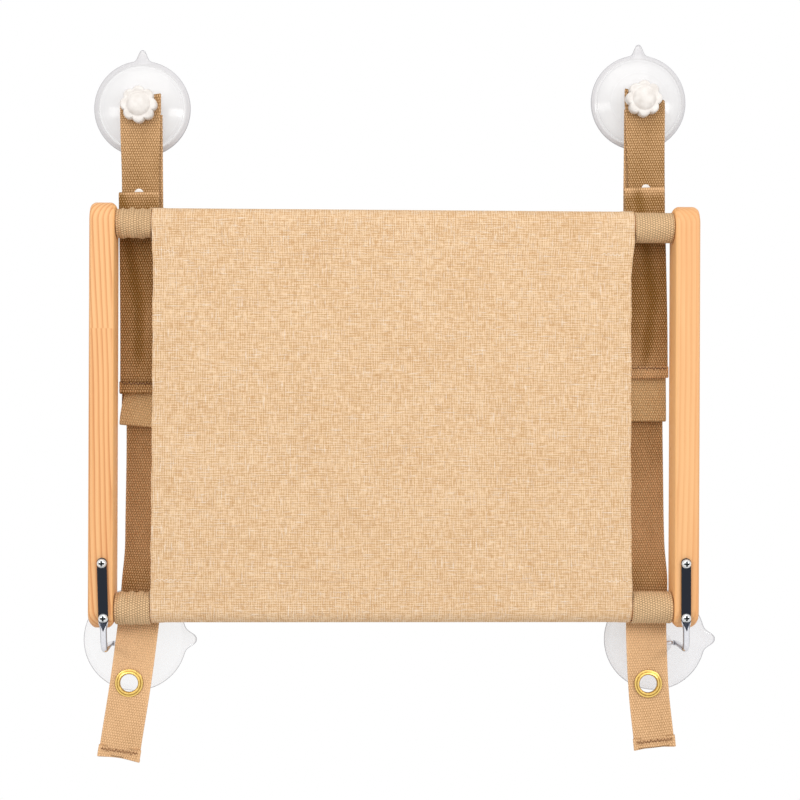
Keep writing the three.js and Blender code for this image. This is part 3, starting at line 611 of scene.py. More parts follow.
sleeve_webbing = paint("sleeve_webbing", webbing([(0.0, 0.55)], 1.6, None, SLEEVE_DEEP, SLEEVE_PALE))
for label, side in SIDES:
    for rod, height in (("front", RAIL_HIGH), ("rear", RAIL_LOW)):
        ring = sleeve(f"{rod}_sleeve_{label}", side, height, *SLEEVES[rod, label])
        coat(ring, sleeve_webbing)
        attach(ring, "bed")
        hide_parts(f"{rod}_rod_sleeve_{label}")


# Back straps: the leg of each webbing strap that runs down behind the frame, passes close behind the rear
# rod and ends in a tail with a turned-up hem, sewn with dark zigzag thread, and a hole for the eyelet.
BAND_HALF = 0.016
BAND_THICK = 0.0008
BACK_Y = -0.0170
TAIL_Y = -0.0288
TAIL_END = {"left": -0.0885, "right": -0.0822}
TAIL_HEM = {"left": 0.0086, "right": 0.0094}
BACK_TOP = {"left": 0.4160, "right": 0.4240}
EYELETS = {"left": (-0.2070, -0.0299), "right": (0.2007, -0.0311)}
BACK_PATHS = {
    "left": (
        [-0.094, -0.0885, -0.0354, 0.013, 0.030, 0.053, 0.100, 0.165, 0.250, 0.345, 0.430],
        [-0.2157, -0.2149, -0.2068, -0.2004, -0.1984, -0.1969, -0.1960, -0.1954, -0.1970, -0.1992, -0.2002],
    ),
    "right": (
        [-0.094, -0.0823, -0.036, 0.0128, 0.053, 0.100, 0.165, 0.260, 0.363, 0.440],
        [0.2073, 0.2061, 0.2014, 0.1990, 0.1999, 0.1989, 0.1978, 0.1975, 0.1976, 0.1981],
    ),
}
# Painted light and shade by height on the back straps: darkest just behind the rear rod and its sleeve, mid
# tones behind the frame, palest on the lit tails.
BACK_LIGHT_AND_SHADE = {
    "left": [
        (-0.060, 0.77), (-0.010, 0.97), (0.001, 0.95), (0.019, 0.62), (0.047, 0.33),
        (0.090, 0.52), (0.120, 0.50), (0.150, 0.45),
    ],
    "right": [
        (-0.060, 0.70), (-0.010, 0.82), (0.001, 0.88), (0.019, 0.60), (0.047, 0.33),
        (0.090, 0.56), (0.120, 0.53), (0.150, 0.42),
    ],
}
BACK_BEND = (0.0836, 0.0416)
HEM_FOLD = 0.0010
HEM_WIDER = 0.0007
HEM_POINTS = 16
EYELET_HOLE = 0.0075
HEM_THREAD = ((112, 70, 34), (158, 108, 64))
ZIGZAG_HALF = 0.0142
ZIGZAG_PITCH = 0.0027
ZIGZAG_THREAD = 0.00026


def strap(name, line, path, relief=None, half=BAND_HALF, skew=None):
    """A webbing band along a line of (y, z), with its middle at x = through(path, z) and turned in its
    plane to follow it: yaw = -atan(dx / dz). relief(a, length, y, z) moves both faces along the normal, and
    skew(a, z) moves them up."""
    y, z = line.T
    slope = (through(*path, z + 0.0005) - through(*path, z - 0.0005)) / 0.001
    centre = grid(through(*path, z), y, z)
    points, a, _, normal, length = carried(centre, -np.arctan(slope), half, BAND_THICK, 33)
    if relief is not None:
        points = points + normal * relief(a, length, points[..., 1], points[..., 2])[..., None]
    if skew is not None:
        points[..., 2] += skew(a, points[..., 2])
    points, a, length = closed(points, a, length)
    return skin(name, points, grid(a, length))


def punched(piece, centre, radius):
    """The piece with a round hole cut through it along Y."""
    bpy.ops.mesh.primitive_cylinder_add(
        vertices=64, radius=radius, depth=0.02, location=centre, rotation=(math.pi / 2.0, 0.0, 0.0)
    )
    cutter = bpy.context.object
    cut = piece.modifiers.new("hole", "BOOLEAN")
    cut.operation = "DIFFERENCE"
    cut.object = cutter
    shown = piece.evaluated_get(bpy.context.evaluated_depsgraph_get())
    mesh = bpy.data.meshes.new_from_object(shown)
    piece.modifiers.clear()
    piece.data = mesh
    bpy.data.objects.remove(cutter)


def zigzag(name, middle, yaw, shift, high):
    """A sewing thread that runs to and fro across a hem: x = t, z = shift + high tri(t / pitch), with a
    little unevenness, turned by yaw in the hem's plane. Drawn as a round section carried along that line,
    just proud of the hem's face."""
    t = np.linspace(-ZIGZAG_HALF, ZIGZAG_HALF, 169)
    tri = np.abs(((t / ZIGZAG_PITCH) % 1.0) - 0.5) * 4.0 - 1.0
    z = shift + high * tri + 0.0003 * np.sin(t * 1300.0 + shift * 4000.0)
    c, s = math.cos(yaw), math.sin(yaw)
    line = grid(t * c - z * s, 0.0, t * s + z * c) + np.array(middle)
    out = np.array([0.0, -1.0, 0.0])
    sideways = unit(np.cross(unit(np.gradient(line, axis=0)), out))
    q = evenly(8)
    ring = np.cos(q)[:, None] * sideways[:, None] + np.sin(q)[:, None] * out
    tube = line[:, None] + ZIGZAG_THREAD * ring
    tube, along = closed(tube, np.broadcast_to(t[:, None], tube.shape[:2]))
    return skin(name, tube, grid(along, 0.0003 * q))


def brown_thread(low, high):
    """Dark polyester thread with a fine twist, sin(u / 0.08 mm), between two shades."""

    def build(start, place, sizes):
        along, around, _ = sizes.parts()
        twist = ((along + around) * 12000.0).wave()
        return start.surface(twist.blend(low, high), 0.6)

    return build


# Below BACK_BEND's upper height the strap bends towards the room, over the way t to the lower one, by
# t t t (10 - 15 t + 6 t t).
thread_finish = paint("hem_thread", brown_thread(*HEM_THREAD))
for label, side in SIDES:
    path, tail_end, hem_y = BACK_PATHS[label], TAIL_END[label], TAIL_Y - 2.0 * HEM_FOLD
    high, low = BACK_BEND
    share = np.linspace(0.0, 1.0, 25)
    bend_y = BACK_Y + (TAIL_Y - BACK_Y) * share ** 3 * (share * (share * 6.0 - 15.0) + 10.0)
    line = joined(
        straight((BACK_Y, BACK_TOP[label]), (BACK_Y, high), 0.0020),
        grid(bend_y, high + (low - high) * share),
        straight((TAIL_Y, low), (TAIL_Y, tail_end + HEM_FOLD), 0.0015),
        turn((TAIL_Y - HEM_FOLD, tail_end + HEM_FOLD), HEM_FOLD, 0.0, -180.0, 10),
        straight((hem_y, tail_end + HEM_FOLD), (hem_y, tail_end + TAIL_HEM[label]), 0.0012),
    )

    def sway(a, length, y, z, side=side):
        """The loose tail hangs in a wave, sin(62 z), and is cupped across, cos(150 a), under a faint wave
        sin(90 length + 60 a)."""
        wave = 0.0011 * np.sin(z * 62.0 + 0.6 * side) * rise(0.012, -0.02, z)
        wave = wave + 0.0007 * rise(0.0, -0.09, z) * np.cos(a * 150.0)
        return wave + 0.0002 * np.sin(length * 90.0 + a * 60.0)

    half = np.full(len(line), BAND_HALF)
    half[-HEM_POINTS:] += HEM_WIDER
    back = strap(f"back_strap_{label}", line, path, sway, half)
    hole_x, hole_z = EYELETS[label]
    punched(back, (hole_x, TAIL_Y, hole_z), EYELET_HOLE)
    finish = webbing(BACK_LIGHT_AND_SHADE[label], run=(BACK_TOP[label] + 0.0010, -1.0))
    coat(back, paint(f"back_webbing_lit_and_shaded_{label}", finish))
    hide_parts(f"strap_back_{label}", f"strap_tail_{label}")
    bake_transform(back)
    hem_z = tail_end + TAIL_HEM[label] * 0.55
    tilt = -math.atan((through(*path, hem_z + 0.002) - through(*path, hem_z - 0.002)) / 0.004)
    sewn = zigzag(f"tail_hem_{label}", (through(*path, hem_z), hem_y - 0.0010, hem_z), tilt, 0.0012, 0.0010)
    coat(sewn, thread_finish)
    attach(sewn, f"{label}_tail")


# Eyelets: two-part brass eyelets pressed through the tails, with a rolled front rim and a flat washer
# behind. Stamped sheet, polished.
BRASS_LIT = (255, 220, 132)
BRASS_SHADED = (156, 110, 36)
GROOVE_RADIUS = 0.0082
GROOVE_PITCH = 0.0020


def brass(start, place, sizes):
    """Polished brass: roughness between 0.18 and 0.3 by noise, with painted shade in the grooves and painted
    highlights on the two rolled rings, cos(2 pi (r - 8.2 mm) / 2 mm)."""
    marks = place.noise(700.0)
    wave = (sizes.parts()[0] - GROOVE_RADIUS) * (2.0 * math.pi / GROOVE_PITCH)
    share = wave.maths("COSINE") * 0.42 + 0.5 + (marks - 0.5) * 0.5
    base = share.blend(BRASS_SHADED, BRASS_LIT)
    return start.surface(base, 0.18 + marks * 0.14, marks.bump(0.00004), metallic=1.0)


def turned(name, centre, profile, steps, angle, widen=None):
    """A profile of (radius, distance towards the room), cut in steps between its points and turned about an
    axis along Y through (x, z). widen(r, angle) can change the radius round the axis. The profile's ends
    close on the axis or on each other. The UV map holds the profile's own radius and the angle."""
    whole = np.arange(len(profile))
    at = np.linspace(0.0, whole[-1], whole[-1] * steps + 1)
    radius, out = (np.interp(at, whole, v)[:, None] for v in zip(*profile))
    wide = radius + 0.0 * angle if widen is None else widen(radius, angle)
    points = grid(centre[0] + wide * np.cos(angle), centre[1] - out, centre[2] + wide * np.sin(angle))
    return skin(name, points, grid(radius, angle))


eyelet_profile = [
    (0.00690, -0.0011), (0.00690, 0.0006), (0.00698, 0.0013), (0.00722, 0.00185), (0.00765, 0.00212),
    (0.00820, 0.00210), (0.00880, 0.00188), (0.00935, 0.00165), (0.01020, 0.00150), (0.01070, 0.00140),
    (0.01098, 0.00118), (0.01100, 0.00095), (0.01090, 0.00085), (0.00760, 0.00082), (0.00752, 0.0),
    (0.00760, -0.00082), (0.01085, -0.00085), (0.01100, -0.00105), (0.01085, -0.00130), (0.00980, -0.00165),
    (0.00860, -0.00175), (0.00740, -0.00150), (0.00690, -0.0011),
]
brass_finish = paint("eyelet_brass", brass)
for label, (x, z) in EYELETS.items():
    eyelet = turned(f"eyelet_{label}", (x, TAIL_Y, z), eyelet_profile, 2, evenly(64))
    coat(eyelet, brass_finish)
    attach(eyelet, f"{label}_tail")
    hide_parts(f"tail_eyelet_{label}")


# Front straps: the strap's front leg. It is folded over the cup's stud, hangs down behind the frame, folds
# up, folds down again in front and ends in a sewn hem. Each stretch is one band of webbing, together with
# the fold before it.
DROP_Y = -0.0198
RETURN_Y = -0.0226
END_Y = -0.0254
FOLD = 0.0014
HOOK_TOP = {"left": 0.4278, "right": 0.4338}
HOOK_SLANT = {"left": 0.20, "right": -0.30}
PIVOT = {"left": 0.4075, "right": 0.4159}
LOWER_FOLD = {"left": 0.1726, "right": 0.1777}
UPPER_FOLD = {"left": 0.3522, "right": 0.3589}
STRAP_END = {"left": 0.1970, "right": 0.2107}
END_THREAD_Y = {"left": -0.0286, "right": -0.0284}
# The end hems' brown thread, with painted shade from the frame making it darker than the tails' thread, the
# left one most.
END_THREAD_SHADED = {"left": ((74, 36, 14), (112, 62, 32)), "right": ((96, 58, 28), (132, 88, 50))}
END_HEM = 0.0085
END_SEAM = 0.0072
END_HEM_POINTS = 14
END_NARROWER = 0.0003
DROP_PATHS = {
    "left": (
        [0.165, 0.180, 0.250, 0.358, 0.410, 0.440],
        [-0.2010, -0.2004, -0.2000, -0.2007, -0.2012, -0.2012],
    ),
    "right": ([0.165, 0.190, 0.250, 0.363, 0.414, 0.445], [0.1999, 0.1998, 0.1995, 0.1995, 0.1983, 0.1981]),
}
RETURN_PATHS = {
    "left": (
        [0.165, 0.178, 0.198, 0.240, 0.300, 0.360],
        [-0.2014, -0.2002, -0.1963, -0.1982, -0.2004, -0.2016],
    ),
    "right": ([0.165, 0.190, 0.250, 0.363], [0.2000, 0.1998, 0.1990, 0.1969]),
}
END_PATHS = {
    "left": ([0.190, 0.240, 0.300, 0.360], [-0.1997, -0.1998, -0.2005, -0.2016]),
    "right": ([0.200, 0.250, 0.300, 0.367], [0.2004, 0.2000, 0.1988, 0.1968]),
}
# Crease lines of the end legs: each gives a groove in the mesh and painted shade along it.
CREASES = {"left": (-0.0004, 0.262, 0.158, 0.024), "right": (0.0042, 0.272, 0.110, 0.137)}
# Painted light and shade by height on the front legs: dark below the front rod, where the frame shades them,
# darkest in the end legs' upper part under the sleeve, with a painted highlight along the top of the upper
# fold; the return legs' lower fold is painted paler where it is lit.
DROP_LIGHT_AND_SHADE = {
    "left": [(0.350, 0.36), (0.385, 0.38), (0.405, 0.46)],
    "right": [(0.350, 0.33), (0.385, 0.31), (0.405, 0.36)],
}
RETURN_LIGHT_AND_SHADE = {
    "left": [(0.176, 0.77), (0.198, 0.66), (0.222, 0.34), (0.300, 0.28)],
    "right": [(0.180, 0.61), (0.212, 0.62), (0.236, 0.34), (0.300, 0.28)],
}
# A yellower pale for the return legs, set to their colour in the frame's shade: partly painted shade.
RETURN_PALE = (238, 200, 150)
END_LIGHT_AND_SHADE = {
    "left": [
        (0.1980, 0.31), (0.2000, 0.27), (0.256, 0.29), (0.300, 0.18), (0.342, 0.22), (0.350, 0.34),
        (0.353, 0.54),
    ],
    "right": [
        (0.2120, 0.50), (0.2140, 0.40), (0.250, 0.24), (0.285, 0.18), (0.352, 0.24), (0.356, 0.42),
        (0.359, 0.66),
    ],
}

for label, top in HOOK_TOP.items():
    low, high, end, pivot = LOWER_FOLD[label], UPPER_FOLD[label], STRAP_END[label], PIVOT[label]
    hook = joined(
        straight((BACK_Y, BACK_TOP[label] + 0.0002), (BACK_Y, top), 0.0015),
        turn(((BACK_Y + DROP_Y) / 2.0, top), FOLD, 0.0, 180.0, 13),
        straight((DROP_Y, top), (DROP_Y, low), 0.0020),
    )
    half = BAND_HALF - 0.0001 - 0.0012 * rise(0.02, 0.085, so_far(hook))

    def ease(a, length, y, z, pivot=pivot):
        """A faint wave below the pivot, sin(55 z) cos(90 a)."""
        return 0.0003 * np.sin(z * 55.0) * rise(pivot - 0.005, pivot - 0.05, z) * np.cos(a * 90.0)

    def slant(a, z, pivot=pivot, top=top, lean=HOOK_SLANT[label]):
        """The folded top stands aslant, moved up by lean times a."""
        return lean * a * rise(pivot + 0.002, top, z)

    drop = strap(f"front_strap_{label}", hook, DROP_PATHS[label], ease, half, slant)
    finish = webbing(DROP_LIGHT_AND_SHADE[label], run=(2.0 * top - BACK_TOP[label] + math.pi * FOLD, -1.0))
    coat(drop, paint(f"drop_webbing_lit_and_shaded_{label}", finish))
    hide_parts(f"strap_anchor_{label}", f"strap_drop_{label}")
    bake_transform(drop)

    lower = joined(
        turn(((DROP_Y + RETURN_Y) / 2.0, low), FOLD, 0.0, -180.0, 13),
        straight((RETURN_Y, low), (RETURN_Y, high), 0.0020),
    )
    back_up = strap(f"return_strap_{label}", lower, RETURN_PATHS[label], half=BAND_HALF - 0.0005)
    finish = webbing(RETURN_LIGHT_AND_SHADE[label], pale=RETURN_PALE, run=(low - math.pi * FOLD, 1.0))
    coat(back_up, paint(f"return_webbing_lit_and_shaded_{label}", finish))
    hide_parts(f"strap_return_{label}")
    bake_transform(back_up)

    end_y = END_Y - 2.0 * HEM_FOLD
    upper = joined(
        turn(((RETURN_Y + END_Y) / 2.0, high), FOLD, 0.0, 180.0, 13),
        straight((END_Y, high), (END_Y, end + HEM_FOLD), 0.0020),
        turn((END_Y - HEM_FOLD, end + HEM_FOLD), HEM_FOLD, 0.0, -180.0, 9),
        straight((end_y, end + HEM_FOLD), (end_y, end + END_HEM), 0.0012),
    )

    def crease(a, length, y, z, line=CREASES[label]):
        """A groove in the front face, 0.9 mm exp(-(s / 4 mm) ** 2) deep, with s the distance across from the
        crease's line, and a faint wave sin(60 z + 80 a)."""
        peak, knee, above, below = line
        aside = a - peak + above * np.maximum(z - knee, 0.0) + below * np.maximum(knee - z, 0.0)
        fold = -0.0009 * np.exp(-((aside / 0.0040) ** 2)) * rise(0.330, 0.30, z) * rise(0.215, 0.245, z)
        return (fold + 0.0003 * np.sin(z * 60.0 + a * 80.0) * rise(0.35, 0.30, z)) * (y < END_Y)

    half = np.full(len(upper), BAND_HALF - END_NARROWER)
    half[-END_HEM_POINTS:] += END_NARROWER
    last = strap(f"strap_end_{label}", upper, END_PATHS[label], crease, half)
    finish = webbing(END_LIGHT_AND_SHADE[label], crease=CREASES[label], run=(high + math.pi * FOLD, -1.0))
    coat(last, paint(f"end_webbing_lit_and_shaded_{label}", finish))
    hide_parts(f"strap_end_{label}")
    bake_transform(last)
    hem_middle = (through(*END_PATHS[label], end), END_THREAD_Y[label], end + END_SEAM)
    sewn = zigzag(f"end_hem_{label}", hem_middle, 0.0, 0.0, 0.0009)
    coat(sewn, paint(f"end_thread_{label}", brown_thread(*END_THREAD_SHADED[label])))
    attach(sewn, f"{label}_strap_end")


# Strap studs: small domed snap heads of white plastic, pressed into the front legs just above the upper
# fold.
STUD_RADIUS = 0.0037
STUD_ABOVE = 0.0031
STUD_X = {"left": -0.2019, "right": 0.1989}
STUD_TONES = ((206, 202, 196), (236, 233, 228))


def white_plastic(start, place, sizes):
    """Moulded white plastic with a faint mottle in tone and gloss."""
    mottle = place.noise(400.0)
    return start.surface(mottle.blend(*STUD_TONES), 0.22 + mottle * 0.1)


stud_finish = paint("stud_plastic", white_plastic)
stud_profile = [
    (0.0, 0.0009), (0.0012, 0.00085), (0.0024, 0.00065), (0.0032, 0.0004), (0.0036, 0.00015),
    (STUD_RADIUS, 0.0), (0.0, 0.0),
]
for label, x in STUD_X.items():
    z = UPPER_FOLD[label] + FOLD + BAND_THICK + STUD_ABOVE - STUD_RADIUS
    snap = turned(f"snap_{label}", (x, DROP_Y - BAND_THICK - 0.0001, z), stud_profile, 3, evenly(40))
    coat(snap, stud_finish)
    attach(snap, f"{label}_strap_drop")
    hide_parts(f"strap_stud_{label}")


# Upper suction cups: moulded from milky clear vinyl, domed, with a boss for the stud and a pull tab on
# top. They are pressed on the pane and carry the straps.
CUPS = {"left": (-0.2019, 0.4237), "right": (0.1960, 0.4323)}
CUP_RADIUS = 0.03825
CUP_TAB = (0.0086, 0.0038)
VINYL_TONE = (228, 226, 226)
VINYL_RING = (192, 190, 194)


def fine_angles(middle, count, spread):
    """Angles once round, closer together near the middle one: middle + pi + t + spread sin(t), where t runs
    evenly once round."""
    t = evenly(count)
    return middle + math.pi + t + spread * np.sin(t)


def tabbed(rim, high, half, middle):
    """Widens a cup near its rim into a bell-shaped tab: r + high exp(-|s / half| ** 2.4) w(r), with s the
    arc from the tab's middle and w rising from 0 to 1 over the last 3 mm before the rim."""

    def widen(radius, angle):
        arc = rim * ((angle - middle + math.pi) % (2.0 * math.pi) - math.pi)
        return radius + high * np.exp(-np.abs(arc / half) ** 2.4) * rise(rim - 0.003, rim - 0.0002, radius)

    return widen


def vinyl(rim, tone, ring, clear, dense, line, cloudy, ringed):
    """Soft vinyl: a Principled surface mixed with plain transparency. Both follow the share of the way from
    the cup's axis to its rim or its tab's edge: denser by dense in the boss and the rim, and by line in
    thin darker rings. One ring is at the edge, and ringed gives (share, half width, weight) of the others,
    where a weight below 0 is a clearer ring. cloudy is the noise's part."""

    def build(start, place, sizes):
        share = sizes.parts()[0] / rim
        lines = share.step(0.980, 0.992)
        for at, width, weight in ringed:
            lines = lines + (1.0 - abs(share - at).step(0.0, width)) * weight
        flow = place.noise(40.0, 1.0)
        body = clear + share.step(0.88, 0.93) * dense + (1.0 - share.step(0.24, 0.34)) * dense
        body = body + lines * line + (flow - 0.5) * cloudy
        base = lines.maths("MAXIMUM", 0.0).blend(tone, ring)
        seen = start.surface(base, 0.06 + flow * 0.06)
        return body.maths("MAXIMUM", 0.02).maths("MINIMUM", 0.96).veil(seen)

    return build


upper_profile = [
    (0.0, 0.0159), (0.0040, 0.0159), (0.0084, 0.0159), (0.0089, 0.0156), (0.0090, 0.0150), (0.0092, 0.0130),
    *((0.0100 + 0.0282 * s, 0.0018 + 0.0107 * (1.0 - s ** 2)) for s in np.linspace(0.0, 1.0, 15)),
    (0.0384, 0.0009), (0.0381, 0.0), (0.0370, 0.0), (0.0358, 0.0),
    *((0.0358 * s, 0.0085 * (1.0 - s ** 2)) for s in np.linspace(0.9, 0.0, 10)),
]
upper_rings = {
    "left": [(0.945, 0.045, 0.5), (0.875, 0.025, -0.7), (0.80, 0.014, 0.3)],
    "right": [(0.955, 0.040, 0.5), (0.90, 0.022, -0.7), (0.865, 0.014, 0.5), (0.60, 0.014, 0.25)],
}
for label, (x, z) in CUPS.items():
    cup = turned(
        f"upper_cup_{label}_vinyl", (x, 0.0, z), upper_profile, 3,
        fine_angles(math.pi / 2.0, 160, 0.8), tabbed(CUP_RADIUS, *CUP_TAB, math.pi / 2.0),
    )
    finish = vinyl(
        CUP_RADIUS, VINYL_TONE, VINYL_RING,
        clear=0.44, dense=0.20, line=0.32, cloudy=0.08, ringed=upper_rings[label],
    )
    coat(cup, paint(f"milky_vinyl_{label}", finish))
    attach(cup, "window_side")
    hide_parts(f"upper_cup_{label}")


# Lower suction cups: glass clear vinyl, pressed flat on the pane, with a round head that holds the hinge
# pin and a pull tab that points to the right.
LOWER_X = {"left": -0.2060, "right": 0.2110}
LOWER_RADIUS = 0.041
LOWER_TAB = (0.0080, 0.0058)
CLEAR_TONE = (222, 221, 225)
CLEAR_RIM = (176, 174, 180)
CLEAR_SHARE = {"left": 0.10, "right": 0.25}

lower_profile = [
    (0.0, 0.0260), (0.0050, 0.0260), (0.0072, 0.0259), (0.0084, 0.0254), (0.0090, 0.0243), (0.0090, 0.0140),
    (0.0090, 0.0062), (0.0098, 0.0046), (0.0130, 0.0034), (0.0220, 0.0027), (0.0320, 0.0020),
    (0.0404, 0.0012), (0.0410, 0.0006), (0.0404, 0.0), (0.0300, 0.0), (0.0150, 0.0), (0.0, 0.0),
]
for label, x in LOWER_X.items():
    cup = turned(
        f"lower_cup_{label}_vinyl", (x, 0.0, 0.0), lower_profile, 3,
        fine_angles(0.0, 160, 0.8), tabbed(LOWER_RADIUS, *LOWER_TAB, 0.0),
    )
    finish = vinyl(
        LOWER_RADIUS, CLEAR_TONE, CLEAR_RIM,
        clear=CLEAR_SHARE[label], dense=0.03, line=0.35, cloudy=0.02, ringed=[],
    )
    coat(cup, paint(f"clear_vinyl_{label}", finish))
    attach(cup, "window_side")
    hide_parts(f"lower_cup_{label}")


# Clamp knobs: scalloped knobs of milky white plastic with a domed middle, screwed on the cups' studs
# so that they clamp the folded straps.
KNOB_RADIUS = 0.0145
KNOB_BACK = 0.0209
KNOB_AXES = {"left": (-0.2018, 0.4228), "right": (0.1961, 0.4312)}
KNOB_TONES = ((222, 214, 206), (242, 238, 234))
LOBE_DEPTH = 0.0024


def scalloped(radius, angle):
    """Eight round lobes: r - 2.4 mm (1 - |cos 4 a| ** 0.7) w(r), with w rising from 0 at 9 mm to 1 at the
    rim."""
    lobes = 1.0 - np.abs(np.cos(4.0 * angle)) ** 0.7
    return radius - LOBE_DEPTH * lobes * rise(0.0090, KNOB_RADIUS, radius)


def milky_plastic(start, place, sizes):
    """Translucent white plastic: a soft surface mixed with a little transparency, uneven by noise."""
    flow = place.noise(160.0)
    return (0.72 + flow * 0.25).veil(start.surface(flow.blend(*KNOB_TONES), 0.3 + flow * 0.12))


knob_profile = [
    (0.0, 0.0), (0.0060, 0.0), (0.0130, 0.0), (0.0140, 0.0004), (0.0145, 0.0014), (0.0145, 0.0040),
    (0.0145, 0.0066), (0.0142, 0.0080), (0.0133, 0.0088), (0.0118, 0.0090), (0.0102, 0.0086),
    (0.0094, 0.0085), (0.0088, 0.0092), (0.0076, 0.0102), (0.0058, 0.0110), (0.0034, 0.0115), (0.0, 0.0116),
]
knob_finish = paint("knob_plastic", milky_plastic)
for label, (x, z) in KNOB_AXES.items():
    knob = turned(f"knob_{label}", (x, -KNOB_BACK, z), knob_profile, 3, evenly(192), scalloped)
    coat(knob, knob_finish)
    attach(knob, f"{label}_knob")
    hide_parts(f"clamp_knob_{label}")


# Cup studs: zinc-plated posts in the upper cups, through the strap and into the knob. They keep their CAD
# shape.
RECESS_ARM = (0.00045, 0.00075)
RECESS_REACH = (0.0018, 0.0022)
RECESS_SHADE = (34, 38, 38)
ZINC_TONES = ((196, 200, 202), (240, 242, 242))


def zinc(recess_shaded):
    """Bright zinc plate: pale grey metal, its roughness uneven by noise. On a screw it carries painted shade
    in the cross recess, about 0.6 mm to either side of two centre lines and 2 mm from the middle, where UV
    holds the radius and the angle."""

    def build(start, place, sizes):
        marks = place.noise(900.0)
        base = marks.blend(*ZINC_TONES)
        if recess_shaded:
            radius, angle, _ = sizes.parts()
            u, v = radius * angle.maths("COSINE"), radius * angle.maths("SINE")
            arm = abs(u).maths("MINIMUM", abs(v))
            cross = (1.0 - arm.step(*RECESS_ARM)) * (1.0 - radius.step(*RECESS_REACH))
            base = cross.blend(base, RECESS_SHADE)
        return start.surface(base, 0.2 + marks * 0.16, marks.bump(0.00003), metallic=1.0)

    return build


zinc_finish = paint("zinc_plate", zinc(False))
for label in KNOB_AXES:
    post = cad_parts[f"cup_stud_{label}"]
    coat(post, zinc_finish)


# Pivot brackets: one steel rod each, hammered flat where it is screwed on the rail's front. Below the rail
# the round rod goes on down, turns back under the frame and then inwards as the pin in the lower cup's
# head.
STRIP_Y = -0.0572
STRIP_TOP = 0.0708
STRIP_HALF = 0.00375
STRIP_THICK = 0.0011
ROD_HALF = 0.0025
PIN_HALF = 0.0019
PIN_Y = -0.020
ROD_Y = -0.0578
BEND = 0.006
PIN_REACH = 0.020
TIP_Z = 0.0144
TIP_SPREAD = 0.47
BRACKETS = {"left": (-0.2223, -0.0310), "right": (0.2248, -0.0020)}
ROUND_FROM = (0.0225, 0.0145)
# Painted dark reflections: on the flat, and along the sides of the rod's upright part.
STEEL_DARK_REFLECTION = (30, 35, 45)
STEEL_SIDE_REFLECTION = (96, 96, 104)
STEEL_TONES = ((212, 212, 218), (244, 244, 247))


def steel(foot, lean):
    """Plated steel, mirror-like, bright on the round rod. A painted dark reflection covers the flat and ends
    below in a point, where its half width is TIP_SPREAD (z - TIP_Z), and painted dark reflections run along
    both sides of the rod's upright part."""

    def build(start, place, sizes):
        x, _, z = place.parts()
        marks = place.noise(900.0)
        aside = abs(x - foot - z * lean)
        dark = ((z - TIP_Z) * TIP_SPREAD - aside).step(-0.0001, 0.0001)
        sides = aside.step(0.0014, 0.0023) * (1.0 - aside.step(0.0026, 0.0030))
        base = (sides * 0.75).blend(marks.blend(*STEEL_TONES), STEEL_SIDE_REFLECTION)
        base = dark.blend(base, STEEL_DARK_REFLECTION)
        return start.surface(base, 0.10 + marks * 0.10, marks.bump(0.00003), metallic=1.0 - dark * 0.3)

    return build


def leaning(label, height):
    """Where a bracket's middle is at a height: the foot's place and the lean in metres per metre."""
    foot, lean = BRACKETS[label]
    return foot + lean * height


def bracket(name, label, side):
    """A section that changes from a flat 7.5 x 2.2 mm strip to a circle, 5 mm wide and 4 mm at the pin,
    carried along the rod's line. The strip's top end is round: its half width is the strip's times
    sqrt(1 - (1 - d / w) ** 2) at the distance d from the top."""
    x = leaning(label, 0.0)
    down = np.linspace(STRIP_TOP, BEND, 90)
    quarter = np.linspace(0.0, math.pi / 2.0, 13)
    swing = BEND * (1.0 - np.cos(quarter))
    settle = BEND * (1.0 - np.sin(quarter))
    line_y = STRIP_Y + (ROD_Y - STRIP_Y) * rise(*ROUND_FROM, down)
    line = joined(
        grid(leaning(label, down), line_y, down),
        grid(x, line_y[-1] + swing, settle),
        grid(x, np.linspace(line_y[-1] + BEND, PIN_Y - BEND, 12), 0.0),
        grid(x - side * swing, PIN_Y - settle, 0.0),
        grid(np.linspace(x - side * BEND, x - side * PIN_REACH, 12), PIN_Y, 0.0),
    )
    direction = unit(np.gradient(line, axis=0))
    flatwise = np.abs(direction[:, 0])
    sideways = grid(1.0 - flatwise, side * flatwise, 0.0)
    sideways = unit(sideways - direction * np.sum(sideways * direction, axis=1, keepdims=True))
    outward = np.cross(direction, sideways)
    round_share = rise(*ROUND_FROM, line[:, 2])[:, None]
    from_top = np.clip(STRIP_TOP - line[:, 2], 0.0, STRIP_HALF)[:, None]
    slimmer = np.clip((np.arange(len(line)) - down.size - 11) / 19.0, 0.0, 1.0)[:, None]
    rod_half = ROD_HALF + (PIN_HALF - ROD_HALF) * slimmer
    tip = np.sqrt(np.maximum(STRIP_HALF ** 2 - (STRIP_HALF - from_top) ** 2, 1e-9)) / STRIP_HALF
    half = (STRIP_HALF * (1.0 - round_share) + rod_half * round_share) * tip
    thick = STRIP_THICK * (1.0 - round_share) + rod_half * round_share
    q = evenly(40)
    power = 0.35 + 0.65 * round_share
    a = half * np.sign(np.cos(q)) * np.abs(np.cos(q)) ** power
    n = thick * np.sign(np.sin(q)) * np.abs(np.sin(q)) ** power
    points = line[:, None] + a[..., None] * sideways[:, None] + n[..., None] * outward[:, None]
    points, around, lengths = closed(points, 0.004 * q + 0.0 * a, so_far(line)[:, None] + 0.0 * a)
    return skin(name, points, grid(around, lengths))


for label, side in SIDES:
    pivot = bracket(f"bracket_{label}", label, side)
    coat(pivot, paint(f"pivot_steel_{label}", steel(*BRACKETS[label])))
    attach(pivot, "bed")
    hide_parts(f"pivot_bracket_{label}")


